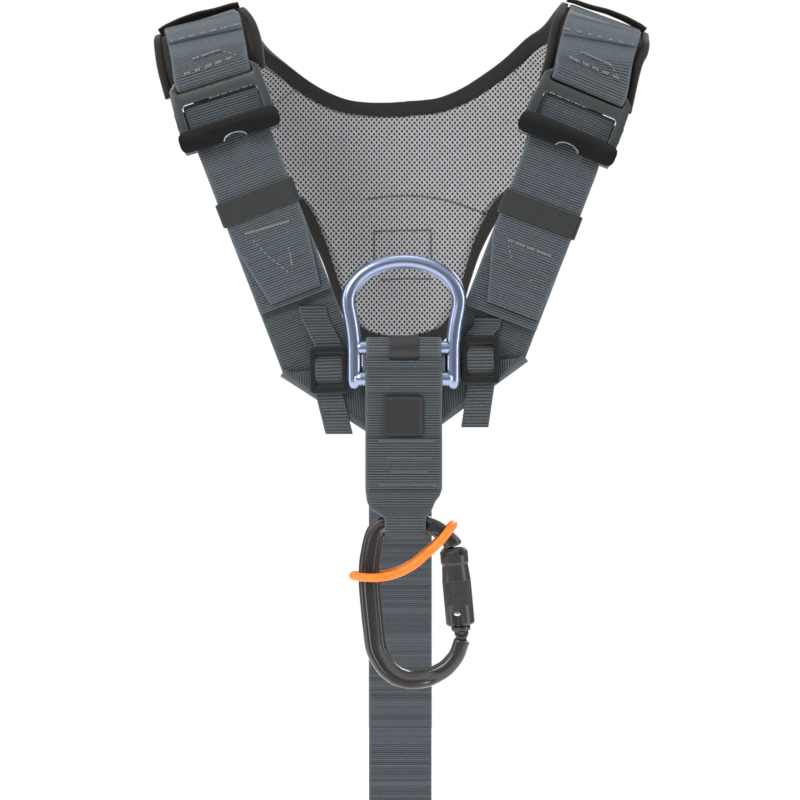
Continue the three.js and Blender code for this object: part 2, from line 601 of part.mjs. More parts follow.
// Chest band: folded forward at both lower corners, one webbing from strap to strap
function chestBand() {
  const topU = KEEPER_AT + KEEPER_H + 6;
  const strips = ['left', 'right'].map((name) => {
    const side = SIDES[name];
    const strap = planeFrame(side, side.lip, STRAP_TILT);
    const outer = side.sign * HALF_WEB;
    return {
      side,
      strap,
      corner: strap.at(side.corner, outer, 0),
      top: { outer: strap.at(topU, outer, 0), inner: strap.at(topU, -outer, 0) },
    };
  });
  const bandDirection = strips[1].corner.clone().sub(strips[0].corner).normalize();
  const folds = strips.map(({ side, strap, corner }) => {
    const inward = bandDirection.clone().multiplyScalar(-side.sign);
    const line = strap.down.clone().add(inward).normalize();
    const length = WEB_W / Math.sin(strap.down.angleTo(line));
    const out = strap.down.clone().sub(inward).normalize();
    return { corner, inner: corner.clone().addScaledVector(line, length), out };
  });
  const at = (p, y) => p.clone().setY(y);
  const rows = [];
  rows.push({ a: at(strips[0].top.outer, BAND_BACK_Y), b: at(strips[0].top.inner, BAND_BACK_Y) });
  const turn = (fold, reverse) => {
    for (let i = 0; i <= TURN_STEPS; i += 1) {
      const angle = ((reverse ? TURN_STEPS - i : i) / TURN_STEPS) * Math.PI;
      const shift = fold.out.clone().multiplyScalar(FOLD_R * Math.sin(angle));
      const y = BAND_BACK_Y - FOLD_R * (1 - Math.cos(angle));
      rows.push({ a: at(fold.corner.clone().add(shift), y), b: at(fold.inner.clone().add(shift), y) });
    }
  };
  turn(folds[0], false);
  turn(folds[1], true);
  rows.push({ a: at(strips[1].top.outer, BAND_BACK_Y), b: at(strips[1].top.inner, BAND_BACK_Y) });
  return rows;
}

// Webbing through rows whose normals are worked out from each row and its neighbours' edges
function foldedRibbon(rows, thickness) {
  const rings = rows.map((row, i) => {
    const before = rows[Math.max(i - 1, 0)];
    const after = rows[Math.min(i + 1, rows.length - 1)];
    const across = row.b.clone().sub(row.a).normalize();
    const side = (from, to) => {
      const path = to.a.clone().sub(from.a).add(to.b.clone().sub(from.b));
      return across.clone().cross(path).normalize();
    };
    const normal = new THREE.Vector3();
    if (i > 0) normal.add(side(before, row));
    if (i < rows.length - 1) normal.add(side(row, after));
    normal.normalize();
    const half = thickness / 2;
    return [row.a.clone().addScaledVector(normal, half), row.b.clone().addScaledVector(normal, half),
      row.b.clone().addScaledVector(normal, -half), row.a.clone().addScaledVector(normal, -half)];
  });
  return loft(rings);
}
add('chest_band', foldedRibbon(chestBand(), WEB_T), LOOKS.darkWeb);

// D-ring with two crossbars
function dRing() {
  const points = [];
  const widest = RING_TOP_Z - RING_ARCH;
  const foot = RING_TOP_Z - RING_H;
  const leg = RING_TOP_Z - RING_STRAIGHT;
  const waist = RING_TOP_Z - RING_WAIST;
  const at = (x, z) => vec(x, RING_Y, z);
  points.push(at(-RING_LEG, foot), at(-RING_LEG, leg), at(-RING_LEG - RING_FLARE, waist));
  const turns = 12;
  for (let i = 0; i <= turns; i += 1) {
    const angle = Math.PI * (1 - i / turns);
    points.push(at(RING_HALF_W * Math.cos(angle), widest + RING_ARCH * Math.sin(angle)));
  }
  points.push(at(RING_LEG + RING_FLARE, waist), at(RING_LEG, leg), at(RING_LEG, foot));
  const widths = points.map(() => RING_BAR);
  const hoop = bar(points, widths, RING_BAR, 10, vec(0, 1, 0));
  const crossbar = (z, radius) => {
    const geometry = new THREE.CylinderGeometry(radius, radius, 2 * RING_LEG, 12);
    geometry.rotateZ(Math.PI / 2);
    geometry.translate(0, RING_Y, z);
    return geometry;
  };
  return joined(hoop, crossbar(UPPER_BAR_Z, UPPER_BAR_R), crossbar(LOWER_BAR_Z, LOWER_BAR_R));
}
add('d_ring', dRing(), LOOKS.blue, (mesh) => { mesh.position.x = RING_MIDDLE; });

const crossRow = (y, z, half, shift = 0) => ({
  a: vec(RING_MIDDLE + shift - half, y, z), b: vec(RING_MIDDLE + shift + half, y, z),
});
const HALF_ROLL = 22;
const EYE_HALF = 11; // webbing gathered round the carabiner
const EYE_SHIFT = 0.9;

// Roll on the upper bar, its end sewn down behind the chest band
function upperRoll() {
  const radius = UPPER_BAR_R + GAP + ROLL_T / 2;
  const rows = [];
  for (let degrees = 310; degrees >= 25; degrees -= 28.5) {
    const angle = rad(degrees);
    rows.push(crossRow(RING_Y + radius * Math.cos(angle), UPPER_BAR_Z + radius * Math.sin(angle), HALF_ROLL));
  }
  const behind = BAND_BACK_Y + WEB_T / 2 + GAP + ROLL_T / 2;
  rows.push(crossRow((RING_Y + behind) / 2 + 2.5, UPPER_BAR_Z + 0.5, HALF_ROLL));
  rows.push(crossRow(behind - 1, UPPER_BAR_Z - 3.2, HALF_ROLL));
  rows.push(crossRow(behind, UPPER_BAR_Z - 8, HALF_ROLL));
  rows.push(crossRow(behind, UPPER_BAR_Z - WEB_W, HALF_ROLL));
  return ribbon(rows, ROLL_T);
}
add('ring_roll', upperRoll(), LOOKS.web);

// Label round the front of the upper roll
function rollLabel() {
  const radius = UPPER_BAR_R + 2 * GAP + ROLL_T + 0.4;
  const rows = [];
  for (let degrees = 100; degrees <= 250; degrees += 25) {
    const angle = rad(degrees);
    const y = RING_Y + radius * Math.cos(angle);
    rows.push(crossRow(y, UPPER_BAR_Z + radius * Math.sin(angle), LABEL_W / 2));
  }
  return ribbon(rows, 0.8);
}
add('roll_label', rollLabel(), LOOKS.rubber);

// Centre webbing: round the lower bar, down in two runs, and round the carabiner
const FRONT_RUN_Y = RING_Y + 1.6;
const BACK_RUN_Y = RING_Y + 5;
const EYE_Y = (FRONT_RUN_Y + BACK_RUN_Y) / 2;
function centreWebbing() {
  const radius = LOWER_BAR_R + GAP + ROLL_T / 2;
  const eye = CARABINER_BAR / 2 + 3 * GAP + ROLL_T / 2;
  const rows = [];
  rows.push(crossRow(BACK_RUN_Y, LOWER_BAR_Z - 14, HALF_WEB));
  [350, 20, 50, 80, 110, 140, 170, 200, 228].forEach((degrees) => {
    const angle = rad(degrees);
    rows.push(crossRow(RING_Y + radius * Math.cos(angle), LOWER_BAR_Z + radius * Math.sin(angle), HALF_WEB));
  });
  rows.push(crossRow(FRONT_RUN_Y - 0.9, LOWER_BAR_Z - 7.6, HALF_WEB));
  rows.push(crossRow(FRONT_RUN_Y, LOWER_BAR_Z - 10, HALF_WEB));
  rows.push(crossRow(FRONT_RUN_Y, EYE_Z + 21, HALF_WEB));
  rows.push(crossRow(FRONT_RUN_Y, EYE_Z + 17, HALF_WEB - 0.6, 0.2));
  rows.push(crossRow(FRONT_RUN_Y, EYE_Z + 11, HALF_WEB - 3.5));
  [150, 180, 210, 240, 270, 300, 330, 0, 30].forEach((degrees) => {
    const angle = rad(degrees);
    rows.push(crossRow(EYE_Y + eye * Math.cos(angle), EYE_Z + eye * Math.sin(angle), EYE_HALF, EYE_SHIFT));
  });
  rows.push(crossRow(BACK_RUN_Y, EYE_Z + 11, HALF_WEB - 3.5));
  rows.push(crossRow(BACK_RUN_Y, EYE_Z + 17, HALF_WEB - 0.6, 0.2));
  rows.push(crossRow(BACK_RUN_Y, EYE_Z + 21, HALF_WEB));
  return ribbon(rows, ROLL_T, true);
}
add('centre_webbing', centreWebbing(), LOOKS.darkWeb);

const patchZ = LOWER_BAR_Z - 10 - PATCH / 2;
add('centre_patch', plate(rounded(PATCH, PATCH, 2), PATCH_T, -FRONT_RUN_Y + ROLL_T / 2 + GAP), LOOKS.rubber,
  (mesh) => { mesh.position.set(RING_MIDDLE - 0.4, 0, patchZ); });

// Carabiner, hanging in the eye of the centre webbing. Shares of its height, from the eye's middle.
const CARABINER_H = 92;
const CARABINER_PATH = [
  { across: 0.373, down: 0.739, width: 9.2 }, { across: 0.341, down: 0.842, width: 9.4 },
  { across: 0.267, down: 0.927, width: 10 }, { across: 0.155, down: 0.985, width: 10.6 },
  { across: 0.039, down: 1.0, width: 11 }, { across: -0.045, down: 0.975, width: 11.4 },
  { across: -0.115, down: 0.915, width: 12 }, { across: -0.178, down: 0.805, width: 12.4 },
  { across: -0.2, down: 0.61, width: 12.6 }, { across: -0.22, down: 0.395, width: 12.6 },
  { across: -0.22, down: 0.25, width: 12.4 }, { across: -0.2, down: 0.125, width: 12 },
  { across: -0.182, down: 0.05, width: 11.4 }, { across: -0.15, down: 0.01, width: 10.8 },
  { across: -0.12, down: 0, width: 10.4 },
  { across: 0.15, down: 0, width: 10.2 }, { across: 0.215, down: 0.025, width: 10.2 },
  { across: 0.256, down: 0.062, width: 9.8 }, { across: 0.294, down: 0.1, width: 10 },
  { across: 0.3146, down: 0.1217, width: 11 }, { across: 0.3167, down: 0.1433, width: 11 },
];
const carabinerPoint = ({ across, down }) => (
  vec(RING_MIDDLE + across * CARABINER_H, EYE_Y, EYE_Z - down * CARABINER_H)
);
const GATE_AXIS = vec(-Math.sin(rad(GATE_TILT)), 0, Math.cos(rad(GATE_TILT)));
const GATE_PIVOT = carabinerPoint(CARABINER_PATH[0]).addScaledVector(GATE_AXIS, GATE_R + GAP);
const TANG_T = 3;
const PIN_R = 1.5;
function carabinerBody() {
  const points = CARABINER_PATH.map(carabinerPoint);
  const body = bar(points, CARABINER_PATH.map((row) => row.width), CARABINER_BAR, 10, vec(0, 1, 0));
  const tang = new THREE.BoxGeometry(5.4, TANG_T, 2 * GATE_R + 4);
  tang.rotateY(-rad(GATE_TILT));
  tang.translate(GATE_PIVOT.x, EYE_Y, GATE_PIVOT.z);
  tang.translate(-GATE_AXIS.x * 4, 0, -GATE_AXIS.z * 4);
  const pin = new THREE.CylinderGeometry(PIN_R, PIN_R, 2 * GATE_R, 12);
  pin.translate(GATE_PIVOT.x, EYE_Y, GATE_PIVOT.z);
  return joined(body, tang, pin);
}
add('carabiner_body', carabinerBody(), LOOKS.body);

function gate() {
  const rod = new THREE.CylinderGeometry(GATE_R, GATE_R, GATE_L - GATE_R * 0.2, 14);
  rod.rotateX(Math.PI / 2);
  rod.translate(0, 0, (GATE_L - GATE_R * 0.2) / 2);
  const knuckle = new THREE.CylinderGeometry(GATE_R - 0.1, GATE_R - 0.1, 2 * GATE_R - 1.2, 14);
  const collarH = SLEEVE_START - GAP - COLLAR_LOW;
  const collar = new THREE.CylinderGeometry(COLLAR_R, COLLAR_R, collarH, 14);
  collar.rotateX(Math.PI / 2);
  collar.translate(0, 0, COLLAR_LOW + collarH / 2);
  const fork = new THREE.BoxGeometry(4 * GATE_R, TANG_T + 2 * GAP, 16);
  fork.translate(0, 0, 5 - GATE_R);
  const hole = new THREE.CylinderGeometry(PIN_R + GAP, PIN_R + GAP, 4 * GATE_R, 12);
  return cut(joined(rod, knuckle, collar), fork, hole);
}
const placeGate = (mesh) => {
  mesh.position.copy(GATE_PIVOT);
  mesh.rotation.y = -rad(GATE_TILT);
};
add('carabiner_gate', gate(), LOOKS.body, placeGate);

// Locking sleeve round the gate, with a window near its lower end
function sleeve() {
  const inner = GATE_R + GAP;
  const collar = SLEEVE_R * 0.97;
  const neck = SLEEVE_R * 0.9;
  const low = SLEEVE_R * 0.94;
  const profile = [
    [inner, 0], [low, 0], [SLEEVE_R, 1], [SLEEVE_R, 26], [neck + 0.3, 33], [neck, 35.5], [collar, 36.5],
    [collar, SLEEVE_L - 2], [collar - 1.5, SLEEVE_L], [inner, SLEEVE_L], [inner, 0],
  ].map(([r, z]) => new THREE.Vector2(r, z));
  const tube = new THREE.LatheGeometry(profile, 20);
  tube.rotateX(Math.PI / 2);
  const hole = new THREE.BoxGeometry(6, SLEEVE_R * 2, 8);
  hole.translate(-1.5, -SLEEVE_R - 3, 4.5 - 1);
  return cut(tube, hole);
}
add('carabiner_sleeve', sleeve(), LOOKS.body, (mesh) => {
  placeGate(mesh);
  mesh.position.addScaledVector(GATE_AXIS, SLEEVE_START);
});

// Silicone ring stretched round the spine and the upper corner of the carabiner
function siliconeRing() {
  const half = SLEEVE_R + 0.5 + BAND_RING / 2;
  const RUN = [
    { across: -0.324, down: 0.33 }, { across: -0.18, down: 0.335 }, { across: -0.1, down: 0.325 },
    { across: -0.02, down: 0.3 }, { across: 0.07, down: 0.25 }, { across: 0.15, down: 0.18 },
    { across: 0.225, down: 0.11 }, { across: 0.317, down: 0.0 },
  ];
  const path = RUN.map((row) => carabinerPoint(row));
  const first = path[0];
  const last = path[path.length - 1];
  const points = path.slice(1, -1).map((p) => p.clone().setY(EYE_Y - half));
  const arc = (end, near, turns) => turns.map((degrees) => {
    const angle = rad(degrees);
    const reach = end.clone().sub(near);
    return near.clone().addScaledVector(reach, Math.sin(angle)).setY(EYE_Y - half * Math.cos(angle));
  });
  const ring = [...points, ...arc(last, path[path.length - 2], [30, 60, 90, 120, 150]),
    ...points.slice().reverse().map((p) => p.clone().setY(EYE_Y + half)),
    ...arc(first, path[1], [150, 120, 90, 60, 30])];
  const sides = 8;
  const rings = ring.map((p, i) => {
    const before = ring[(i + ring.length - 1) % ring.length];
    const after = ring[(i + 1) % ring.length];
    const along = after.clone().sub(before).normalize();
    const side = along.clone().cross(vec(0.35, 0, 1).normalize()).normalize();
    const up = side.clone().cross(along).normalize();
    return Array.from({ length: sides }, (_, k) => {
      const angle = (k / sides) * 2 * Math.PI;
      return p.clone().addScaledVector(side, (Math.cos(angle) * BAND_RING) / 2)
        .addScaledVector(up, (Math.sin(angle) * BAND_RING) / 2);
    });
  });
  return loft(rings, true);
}
add('silicone_ring', siliconeRing(), LOOKS.orange);

// Dorsal strap down from the back of the yoke
const DORSAL_START = 0.42; // its sewn end, share of YOKE_DROP below the origin
const DORSAL_Y = 1.03 * HALF_DEPTH + PAD_T / 2 + WEB_T + 2 * GAP + WEB_T / 2;
const dorsalRow = (z) => ({ a: vec(-DORSAL_W / 2 - 1, DORSAL_Y, z), b: vec(DORSAL_W / 2 - 1, DORSAL_Y, z) });
const dorsalRows = [DORSAL_START * -YOKE_DROP, -YOKE_DROP, -DORSAL_END].map(dorsalRow);
add('dorsal_strap', ribbon(dorsalRows, WEB_T), LOOKS.darkWeb);

export default harness;
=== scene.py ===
"""Looks for a climbing chest harness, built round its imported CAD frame.

Sizes are in millimetres in the frame's axes: +Z up, the front towards -Y. Meshes are made in metres.
"""
import math

import bmesh
import bpy
import numpy as np
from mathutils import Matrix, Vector


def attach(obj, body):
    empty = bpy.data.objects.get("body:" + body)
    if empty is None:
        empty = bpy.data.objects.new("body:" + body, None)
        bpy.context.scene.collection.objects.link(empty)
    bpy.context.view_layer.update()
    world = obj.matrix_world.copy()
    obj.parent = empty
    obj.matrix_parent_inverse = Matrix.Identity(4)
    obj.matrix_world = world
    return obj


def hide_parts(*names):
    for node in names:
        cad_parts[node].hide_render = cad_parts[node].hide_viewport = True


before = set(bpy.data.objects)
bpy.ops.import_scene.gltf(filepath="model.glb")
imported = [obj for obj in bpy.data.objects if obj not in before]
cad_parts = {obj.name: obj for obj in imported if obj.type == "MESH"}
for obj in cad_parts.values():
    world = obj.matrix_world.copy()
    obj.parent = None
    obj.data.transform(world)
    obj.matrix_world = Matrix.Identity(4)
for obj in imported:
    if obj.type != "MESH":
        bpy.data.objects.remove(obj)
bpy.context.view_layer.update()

rng = np.random.default_rng(7)
MM = 0.001

# Driving dimensions, the same as the frame's
HALF_SPAN = 150.0
YOKE_DROP = 190.0
HALF_DEPTH = 50.0
PAD_T = 6.0
LINING_T = 1.5
BINDING_T = 1.0
BINDING_INNER = 8.0
BINDING_OUTER = 3.0
WEB_W = 45.0
HALF_WEB = WEB_W / 2
WEB_T = 2.0
DORSAL_W = 40.0
DORSAL_END = 486.0
SMALL_W = 16.0
SMALL_T = 1.6
GAP = 0.3
STRAP_TILT = 21.0
KEEPER_H = 14.0
KEEPER_T = 1.5
KEEPER_AT = 33.5
FRAME_T = 3.0
TOP_BAR = 3.0
FRAME_TOP = TOP_BAR + 4.4 + 6.4
WINDOW_H = 18.0
LIP_H = 13.0
LIP_T = 4.0
LIP_FOOT = WINDOW_H * 0.86 + LIP_H  # window's top down to the lip's lower edge
NOTCH_W = 7.0  # half width and height of the notch in the slider's lip
NOTCH_H = 3.85
RING_MIDDLE = 1.0
RING_HALF_W = 33.0
RING_LEG = 28.9
RING_H = 76.0
RING_BAR = 8.6
RING_ARCH = 24.0  # rise of the top over the widest place
RING_WAIST = 37.0
RING_STRAIGHT = 49.0
RING_FLARE = 1.4
UPPER_BAR_R = 4.0
LOWER_BAR_R = 4.5
ROLL_T = 2.2
HALF_ROLL = 22.0
PATCH = 23.5
PATCH_T = 1.6
LABEL_W = 17.0
SLIDER_W = 22.0
SLIDER_H = 28.0
SLIDER_T = 3.0
CARABINER_BAR = 11.0
CARABINER_H = 92.0
GATE_R = 4.25
GATE_TILT = 5.4
SLEEVE_R = 8.4
SLEEVE_L = 45.5
SLEEVE_START = 4.2
BAND_RING = 5.0

# Webbing relief
RIB_PITCH = 1.5
SMALL_PITCH = 1.9
DORSAL_PITCH = 1.3
RIB_DEPTH = 0.36
SERRATION = 0.22
SAMPLES = 4  # sections to one rib

# Holes of the mesh lining
HOLE_PITCH = 3.2
HOLE_ROW = 1.8
HOLE_DEPTH = 0.45

# Layers at the front, from the chest band outwards
BAND_BACK_Y = -HALF_DEPTH
FOLD_R = (WEB_T + GAP * 4) / 2
BAND_FRONT_Y = BAND_BACK_Y - 2 * FOLD_R
STRAP_BACK_Y = BAND_BACK_Y - WEB_T - SMALL_T - 2 * GAP
STRAP_FRONT_Y = STRAP_BACK_Y - WEB_T - GAP
RING_Y = BAND_FRONT_Y - WEB_T / 2 - LOWER_BAR_R - ROLL_T - 3 * GAP - 0.2
BUCKLE_Y = STRAP_FRONT_Y - WEB_T / 2 - GAP
BAR_FRONT_Y = BUCKLE_Y + WEB_T + 2 * GAP
BAR_T = 2.5
LOOP_R = (BAR_T + WEB_T + 2 * GAP) / 2
LOOP_Y = BAR_FRONT_Y + BAR_T / 2
RING_TOP_Z = -0.732 * YOKE_DROP
UPPER_BAR_Z = -1.0 * YOKE_DROP
LOWER_BAR_Z = -1.095 * YOKE_DROP
EYE_Z = -1.545 * YOKE_DROP
BACK_Y = 1.03 * HALF_DEPTH  # middle of the pad at the back
FIRST_H = PAD_T / 2 + GAP + WEB_T / 2  # layers of webbing over the middle of the pad
SECOND_H = FIRST_H + WEB_T + GAP
THIRD_H = SECOND_H + WEB_T + GAP

# Yoke rows: neck across and down, edge across and down, depth, as shares of span, drop and depth
YOKE_LEFT = [
    (-0.55, 0.125, -0.925, 0.22, -1.0),
    (-0.56, 0.055, -0.955, 0.13, -0.99),
    (-0.58, 0.0, -0.97, 0.065, -0.88),
    (-0.62, -0.055, -0.98, 0.03, -0.5),
    (-0.645, -0.08, -0.985, 0.01, 0.0),
    (-0.625, -0.055, -0.975, 0.03, 0.5),
    (-0.575, -0.005, -0.935, 0.085, 0.84),
    (-0.5, 0.04, -0.865, 0.175, 1.0),
    (-0.405, 0.098, -0.76, 0.3, 1.03),
    (-0.32, 0.138, -0.645, 0.4, 1.03),
    (-0.23, 0.165, -0.53, 0.478, 1.03),
    (-0.143, 0.174, -0.427, 0.545, 1.03),
    (-0.09, 0.175, -0.338, 0.68, 1.03),
    (-0.052, 0.175, -0.28, 0.81, 1.03),
    (-0.028, 0.174, -0.235, 0.89, 1.03),
    (-0.012, 0.173, -0.17, 0.965, 1.03),
    (0.0, 0.173, 0.0, 1.0, 1.03),
]
YOKE_RIGHT = [
    (0.55, 0.165, 0.895, 0.265, -1.0),
    (0.575, 0.095, 0.938, 0.12, -0.985),
    (0.595, 0.01, 0.965, 0.075, -0.88),
    (0.63, -0.06, 0.978, 0.035, -0.5),
    (0.65, -0.1, 0.988, 0.0, 0.0),
    (0.635, -0.1, 0.98, 0.025, 0.5),
    (0.595, -0.07, 0.935, 0.085, 0.84),
    (0.54, -0.045, 0.86, 0.18, 1.0),
    (0.436, 0.03, 0.76, 0.3, 1.03),
    (0.347, 0.082, 0.65, 0.392, 1.03),
    (0.254, 0.128, 0.542, 0.466, 1.03),
    (0.161, 0.158, 0.427, 0.527, 1.03),
    (0.1, 0.166, 0.335, 0.65, 1.03),
    (0.055, 0.169, 0.286, 0.76, 1.03),
    (0.028, 0.17, 0.252, 0.847, 1.03),
    (0.013, 0.172, 0.175, 0.955, 1.03),
    (0.0, 0.173, 0.0, 1.0, 1.03),
]
LAST_ROW = len(YOKE_LEFT) - 1
TOP_ROW = 4
FLAT_ROW = 8  # the back is flat from this row on

# Where each side's parts sit: shares of span and drop, angles in degrees, lengths in mm.
# small, slider and small_end: mm outwards from the place beside the D-ring, and a share of the drop.
SIDES = {
    "left": dict(
        sign=-1, buckle_tilt=17.5, window=(-0.719, 0.215), lip=(-0.663, 0.349), corner=139.3,
        strap_end=103, tail_end=99, tail_shift=1.3, small=(10.05, 0.868),
        slider=(0, 1.067), slider_tilt=-2, small_end=(-6.15, 1.266),
    ),
    "right": dict(
        sign=1, buckle_tilt=22.8, window=(0.703, 0.247), lip=(0.639, 0.386), corner=122.4,
        strap_end=106, tail_end=99.8, tail_shift=5.2, small=(5.65, 0.905),
        slider=(1, 1.036), slider_tilt=-1, small_end=(-2.3, 1.245),
    ),
}


def vec(x, y, z):
    return np.array([x, y, z], float)


def unit(v):
    return v / np.maximum(np.linalg.norm(v, axis=-1, keepdims=True), 1e-9)


def smoothstep(low, high, x):
    t = np.clip((x - low) / (high - low), 0, 1)
    return t * t * (3 - 2 * t)


# ---------- meshes

def grid_quads(rings, around, wrap=True, loop=False):
    """Quads between rings of points laid one after another."""
    i = np.arange(rings if loop else rings - 1)
    j = np.arange(around if wrap else around - 1)
    i, j = np.meshgrid(i, j, indexing="ij")
    here, there = i * around, ((i + 1) % rings) * around
    k = (j + 1) % around
    quads = np.stack([here + j, there + j, there + k, here + k], axis=-1)
    return quads.reshape(-1, 4)


def circle(sides):
    """Angles evenly round a circle."""
    return np.arange(sides) / sides * 2 * math.pi


def skin(rings, loop=False):
    """Closed skin over rings of points: a face at each end, or the ends joined up. Has no marks."""
    rings = np.array(rings)
    count, around = rings.shape[:2]
    faces = grid_quads(count, around, loop=loop).tolist()
    if not loop:
        faces += [list(range(around)), list(range((count - 1) * around, count * around))]
    return rings.reshape(-1, 3), faces, {}


def linked(name, data):
    made = bpy.data.objects.new(name, data)
    bpy.context.scene.collection.objects.link(made)
    return made


def placed(name, mesh, look, node, body):
    """Puts a mesh on its body, in place of a CAD node. A look is a slot and its material."""
    slot, material = look
    mesh.materials.append(material)
    made = linked(name, mesh)
    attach(made, body)
    if node:
        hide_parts(node)
    return made


def piece(name, shape, look, node=None, body="root"):
    """A mesh piece from points in mm, faces, and marks: named values, one for each point."""
    points, faces, marks = shape
    points = np.asarray(points, float).reshape(-1, 3)
    mesh = bpy.data.meshes.new(name)
    mesh.from_pydata((points * MM).tolist(), [], [list(map(int, f)) for f in faces])
    for mark, values in marks.items():
        attribute = mesh.attributes.new(mark, "FLOAT", "POINT")
        attribute.data.foreach_set("value", np.asarray(values, np.float32).ravel())
    made = bmesh.new()
    made.from_mesh(mesh)
    bmesh.ops.recalc_face_normals(made, faces=made.faces)
    made.to_mesh(mesh)
    made.free()
    mesh.polygons.foreach_set("use_smooth", [True] * len(mesh.polygons))
    return placed(name, mesh, look, node, body)


FLAT_ANGLE, BEVEL_ANGLE, SHARP_ANGLE = (math.radians(a) for a in (1, 28, 35))


def remade(node, look, bevel, body="root", segments=3):
    """A CAD node's solid with its flat faces made whole and its edges rounded."""
    made = bmesh.new()
    made.from_mesh(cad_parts[node].data)
    bmesh.ops.remove_doubles(made, verts=made.verts, dist=1e-5)
    bmesh.ops.dissolve_limit(made, angle_limit=FLAT_ANGLE, verts=made.verts, edges=made.edges)
    sharp = [e for e in made.edges if e.is_manifold and e.calc_face_angle() > BEVEL_ANGLE]
    bmesh.ops.bevel(made, geom=sharp, offset=bevel * MM, segments=segments, profile=0.5,
                    affect="EDGES", clamp_overlap=True)
    bmesh.ops.triangulate(made, faces=[f for f in made.faces if len(f.verts) > 4])
    mesh = bpy.data.meshes.new(node + "_look")
    made.to_mesh(mesh)
    made.free()
    mesh.polygons.foreach_set("use_smooth", [True] * len(mesh.polygons))
    mesh.set_sharp_from_angle(angle=SHARP_ANGLE)
    return placed(node + "_look", mesh, look, node, body)


def softened(points, sigma, closed=False):
    """Rounds the corners of a line of evenly spaced points."""
    if sigma < 0.3:
        return points
    reach = int(min(3 * sigma + 1, len(points) - 1))
    kernel = np.exp(-0.5 * (np.arange(-reach, reach + 1) / sigma) ** 2)
    kernel /= kernel.sum()
    if closed:
        padded = np.concatenate([points[-reach:], points, points[:reach]])
    else:
        before = 2 * points[0] - points[reach:0:-1]
        after = 2 * points[-1] - points[-2:-reach - 2:-1]
        padded = np.concatenate([before, points, after])
    return np.stack([np.convolve(padded[:, k], kernel, "valid") for k in range(3)], axis=1)


def resampled(points, spacing):
    points = np.asarray(points, float)
    steps = np.linalg.norm(np.diff(points, axis=0), axis=1)
    length = np.concatenate([[0], np.cumsum(steps)])
    count = max(int(length[-1] / spacing), 4)
    s = np.linspace(0, length[-1], count + 1)
    return np.stack([np.interp(s, length, points[:, k]) for k in range(3)], axis=1)


EDGE_SHARES = np.array([0, 0.012, 0.035, 0.07])  # sections near a selvedge
EDGE_HEIGHTS = np.array([0.4, 0.8, 0.95, 1.0])


def strip(rows, thickness=WEB_T, pitch=RIB_PITCH, relief=RIB_DEPTH, columns=7, out=None,
          soften=0.8, plain=None, serration=SERRATION):
    """Ribbed webbing through rows of two edge points: points, faces and marks."""
    a, b = (np.array([r[k] for r in rows], float) for k in range(2))
    middle = (a + b) / 2
    steps = np.linalg.norm(np.diff(middle, axis=0), axis=1)
    length = np.concatenate([[0], np.cumsum(steps)])
    count = max(int(length[-1] / pitch), 2) * SAMPLES
    s = np.linspace(0, length[-1], count + 1)
    spacing = s[1]

    def fine(p):
        q = np.stack([np.interp(s, length, p[:, k]) for k in range(3)], axis=1)
        return softened(q, soften / spacing)

    a, b = fine(a), fine(b)
    across = unit(b - a)
    if out is None:
        normal = unit(np.cross(across, np.gradient((a + b) / 2, axis=0)))
    else:
        normal = np.repeat(np.array([out], float), len(s), axis=0)
    inner = np.linspace(EDGE_SHARES[-1], 1 - EDGE_SHARES[-1], columns)[1:-1]
    w = np.concatenate([EDGE_SHARES, inner, 1 - EDGE_SHARES[::-1]])
    height = np.concatenate([EDGE_HEIGHTS, np.ones(len(inner)), EDGE_HEIGHTS[::-1]])
    ribbed = np.concatenate([[0, 0.2, 0.8, 1], np.ones(len(inner)), [1, 0.8, 0.2, 0]])
    phase = s / pitch
    wave = np.abs(np.sin(np.pi * phase)) ** 0.8
    share = s / length[-1]
    strength = np.ones(len(s)) if plain is None else np.array([plain(x) for x in share])
    dip = relief * (1 - wave) * strength
    p = a[:, None, :] * (1 - w)[None, :, None] + b[:, None, :] * w[None, :, None]
    jag = (wave - 0.5) * serration
    p[:, 0] -= across * jag[:, None]
    p[:, -1] += across * jag[:, None]
    half = (thickness / 2) * height[None, :] - dip[:, None] * ribbed[None, :]
    top = p + normal[:, None, :] * half[..., None]
    low = p - normal[:, None, :] * half[..., None]
    points, faces, _ = skin(np.concatenate([top, low[:, ::-1]], axis=1))
    rib = 1 - (1 - wave)[:, None] * np.concatenate([ribbed, ribbed[::-1]])[None, :] * strength[:, None]
    tone_of = rng.uniform(0, 1, int(phase[-1]) + 2)
    tone = np.repeat(tone_of[phase.astype(int)][:, None], rib.shape[1], axis=1)
    return points, faces, {"rib": rib, "tone": tone}


def merged(parts):
    """Several (points, faces, marks) as one."""
    points, faces, marks, base = [], [], {}, 0
    for p, f, m in parts:
        points.append(p)
        faces += [[i + base for i in face] for face in f]
        for key, values in m.items():
            marks.setdefault(key, []).append(np.asarray(values, float).ravel())
        base += len(p)
    return np.concatenate(points), faces, {k: np.concatenate(v) for k, v in marks.items()}


def tube(path, radius, sides=16, across=(0, 1, 0), closed=False, section=None):
    """Round or shaped bar along a path. section(share) gives the ring's (side, across) offsets."""
    path = np.asarray(path, float)
    if closed:
        along = unit(np.roll(path, -1, axis=0) - np.roll(path, 1, axis=0))
    else:
        along = unit(np.gradient(path, axis=0))
    side = unit(np.cross(np.asarray(across, float), along))
    up = np.cross(side, along)
    angle = circle(sides)
    rings = []
    for i, centre in enumerate(path):
        share = i / (len(path) - 1)
        if section is None:
            u, v = radius * np.cos(angle), radius * np.sin(angle)
        else:
            u, v = section(share, angle)
        rings.append(centre + u[:, None] * side[i] + v[:, None] * up[i])
    return skin(rings, loop=closed)


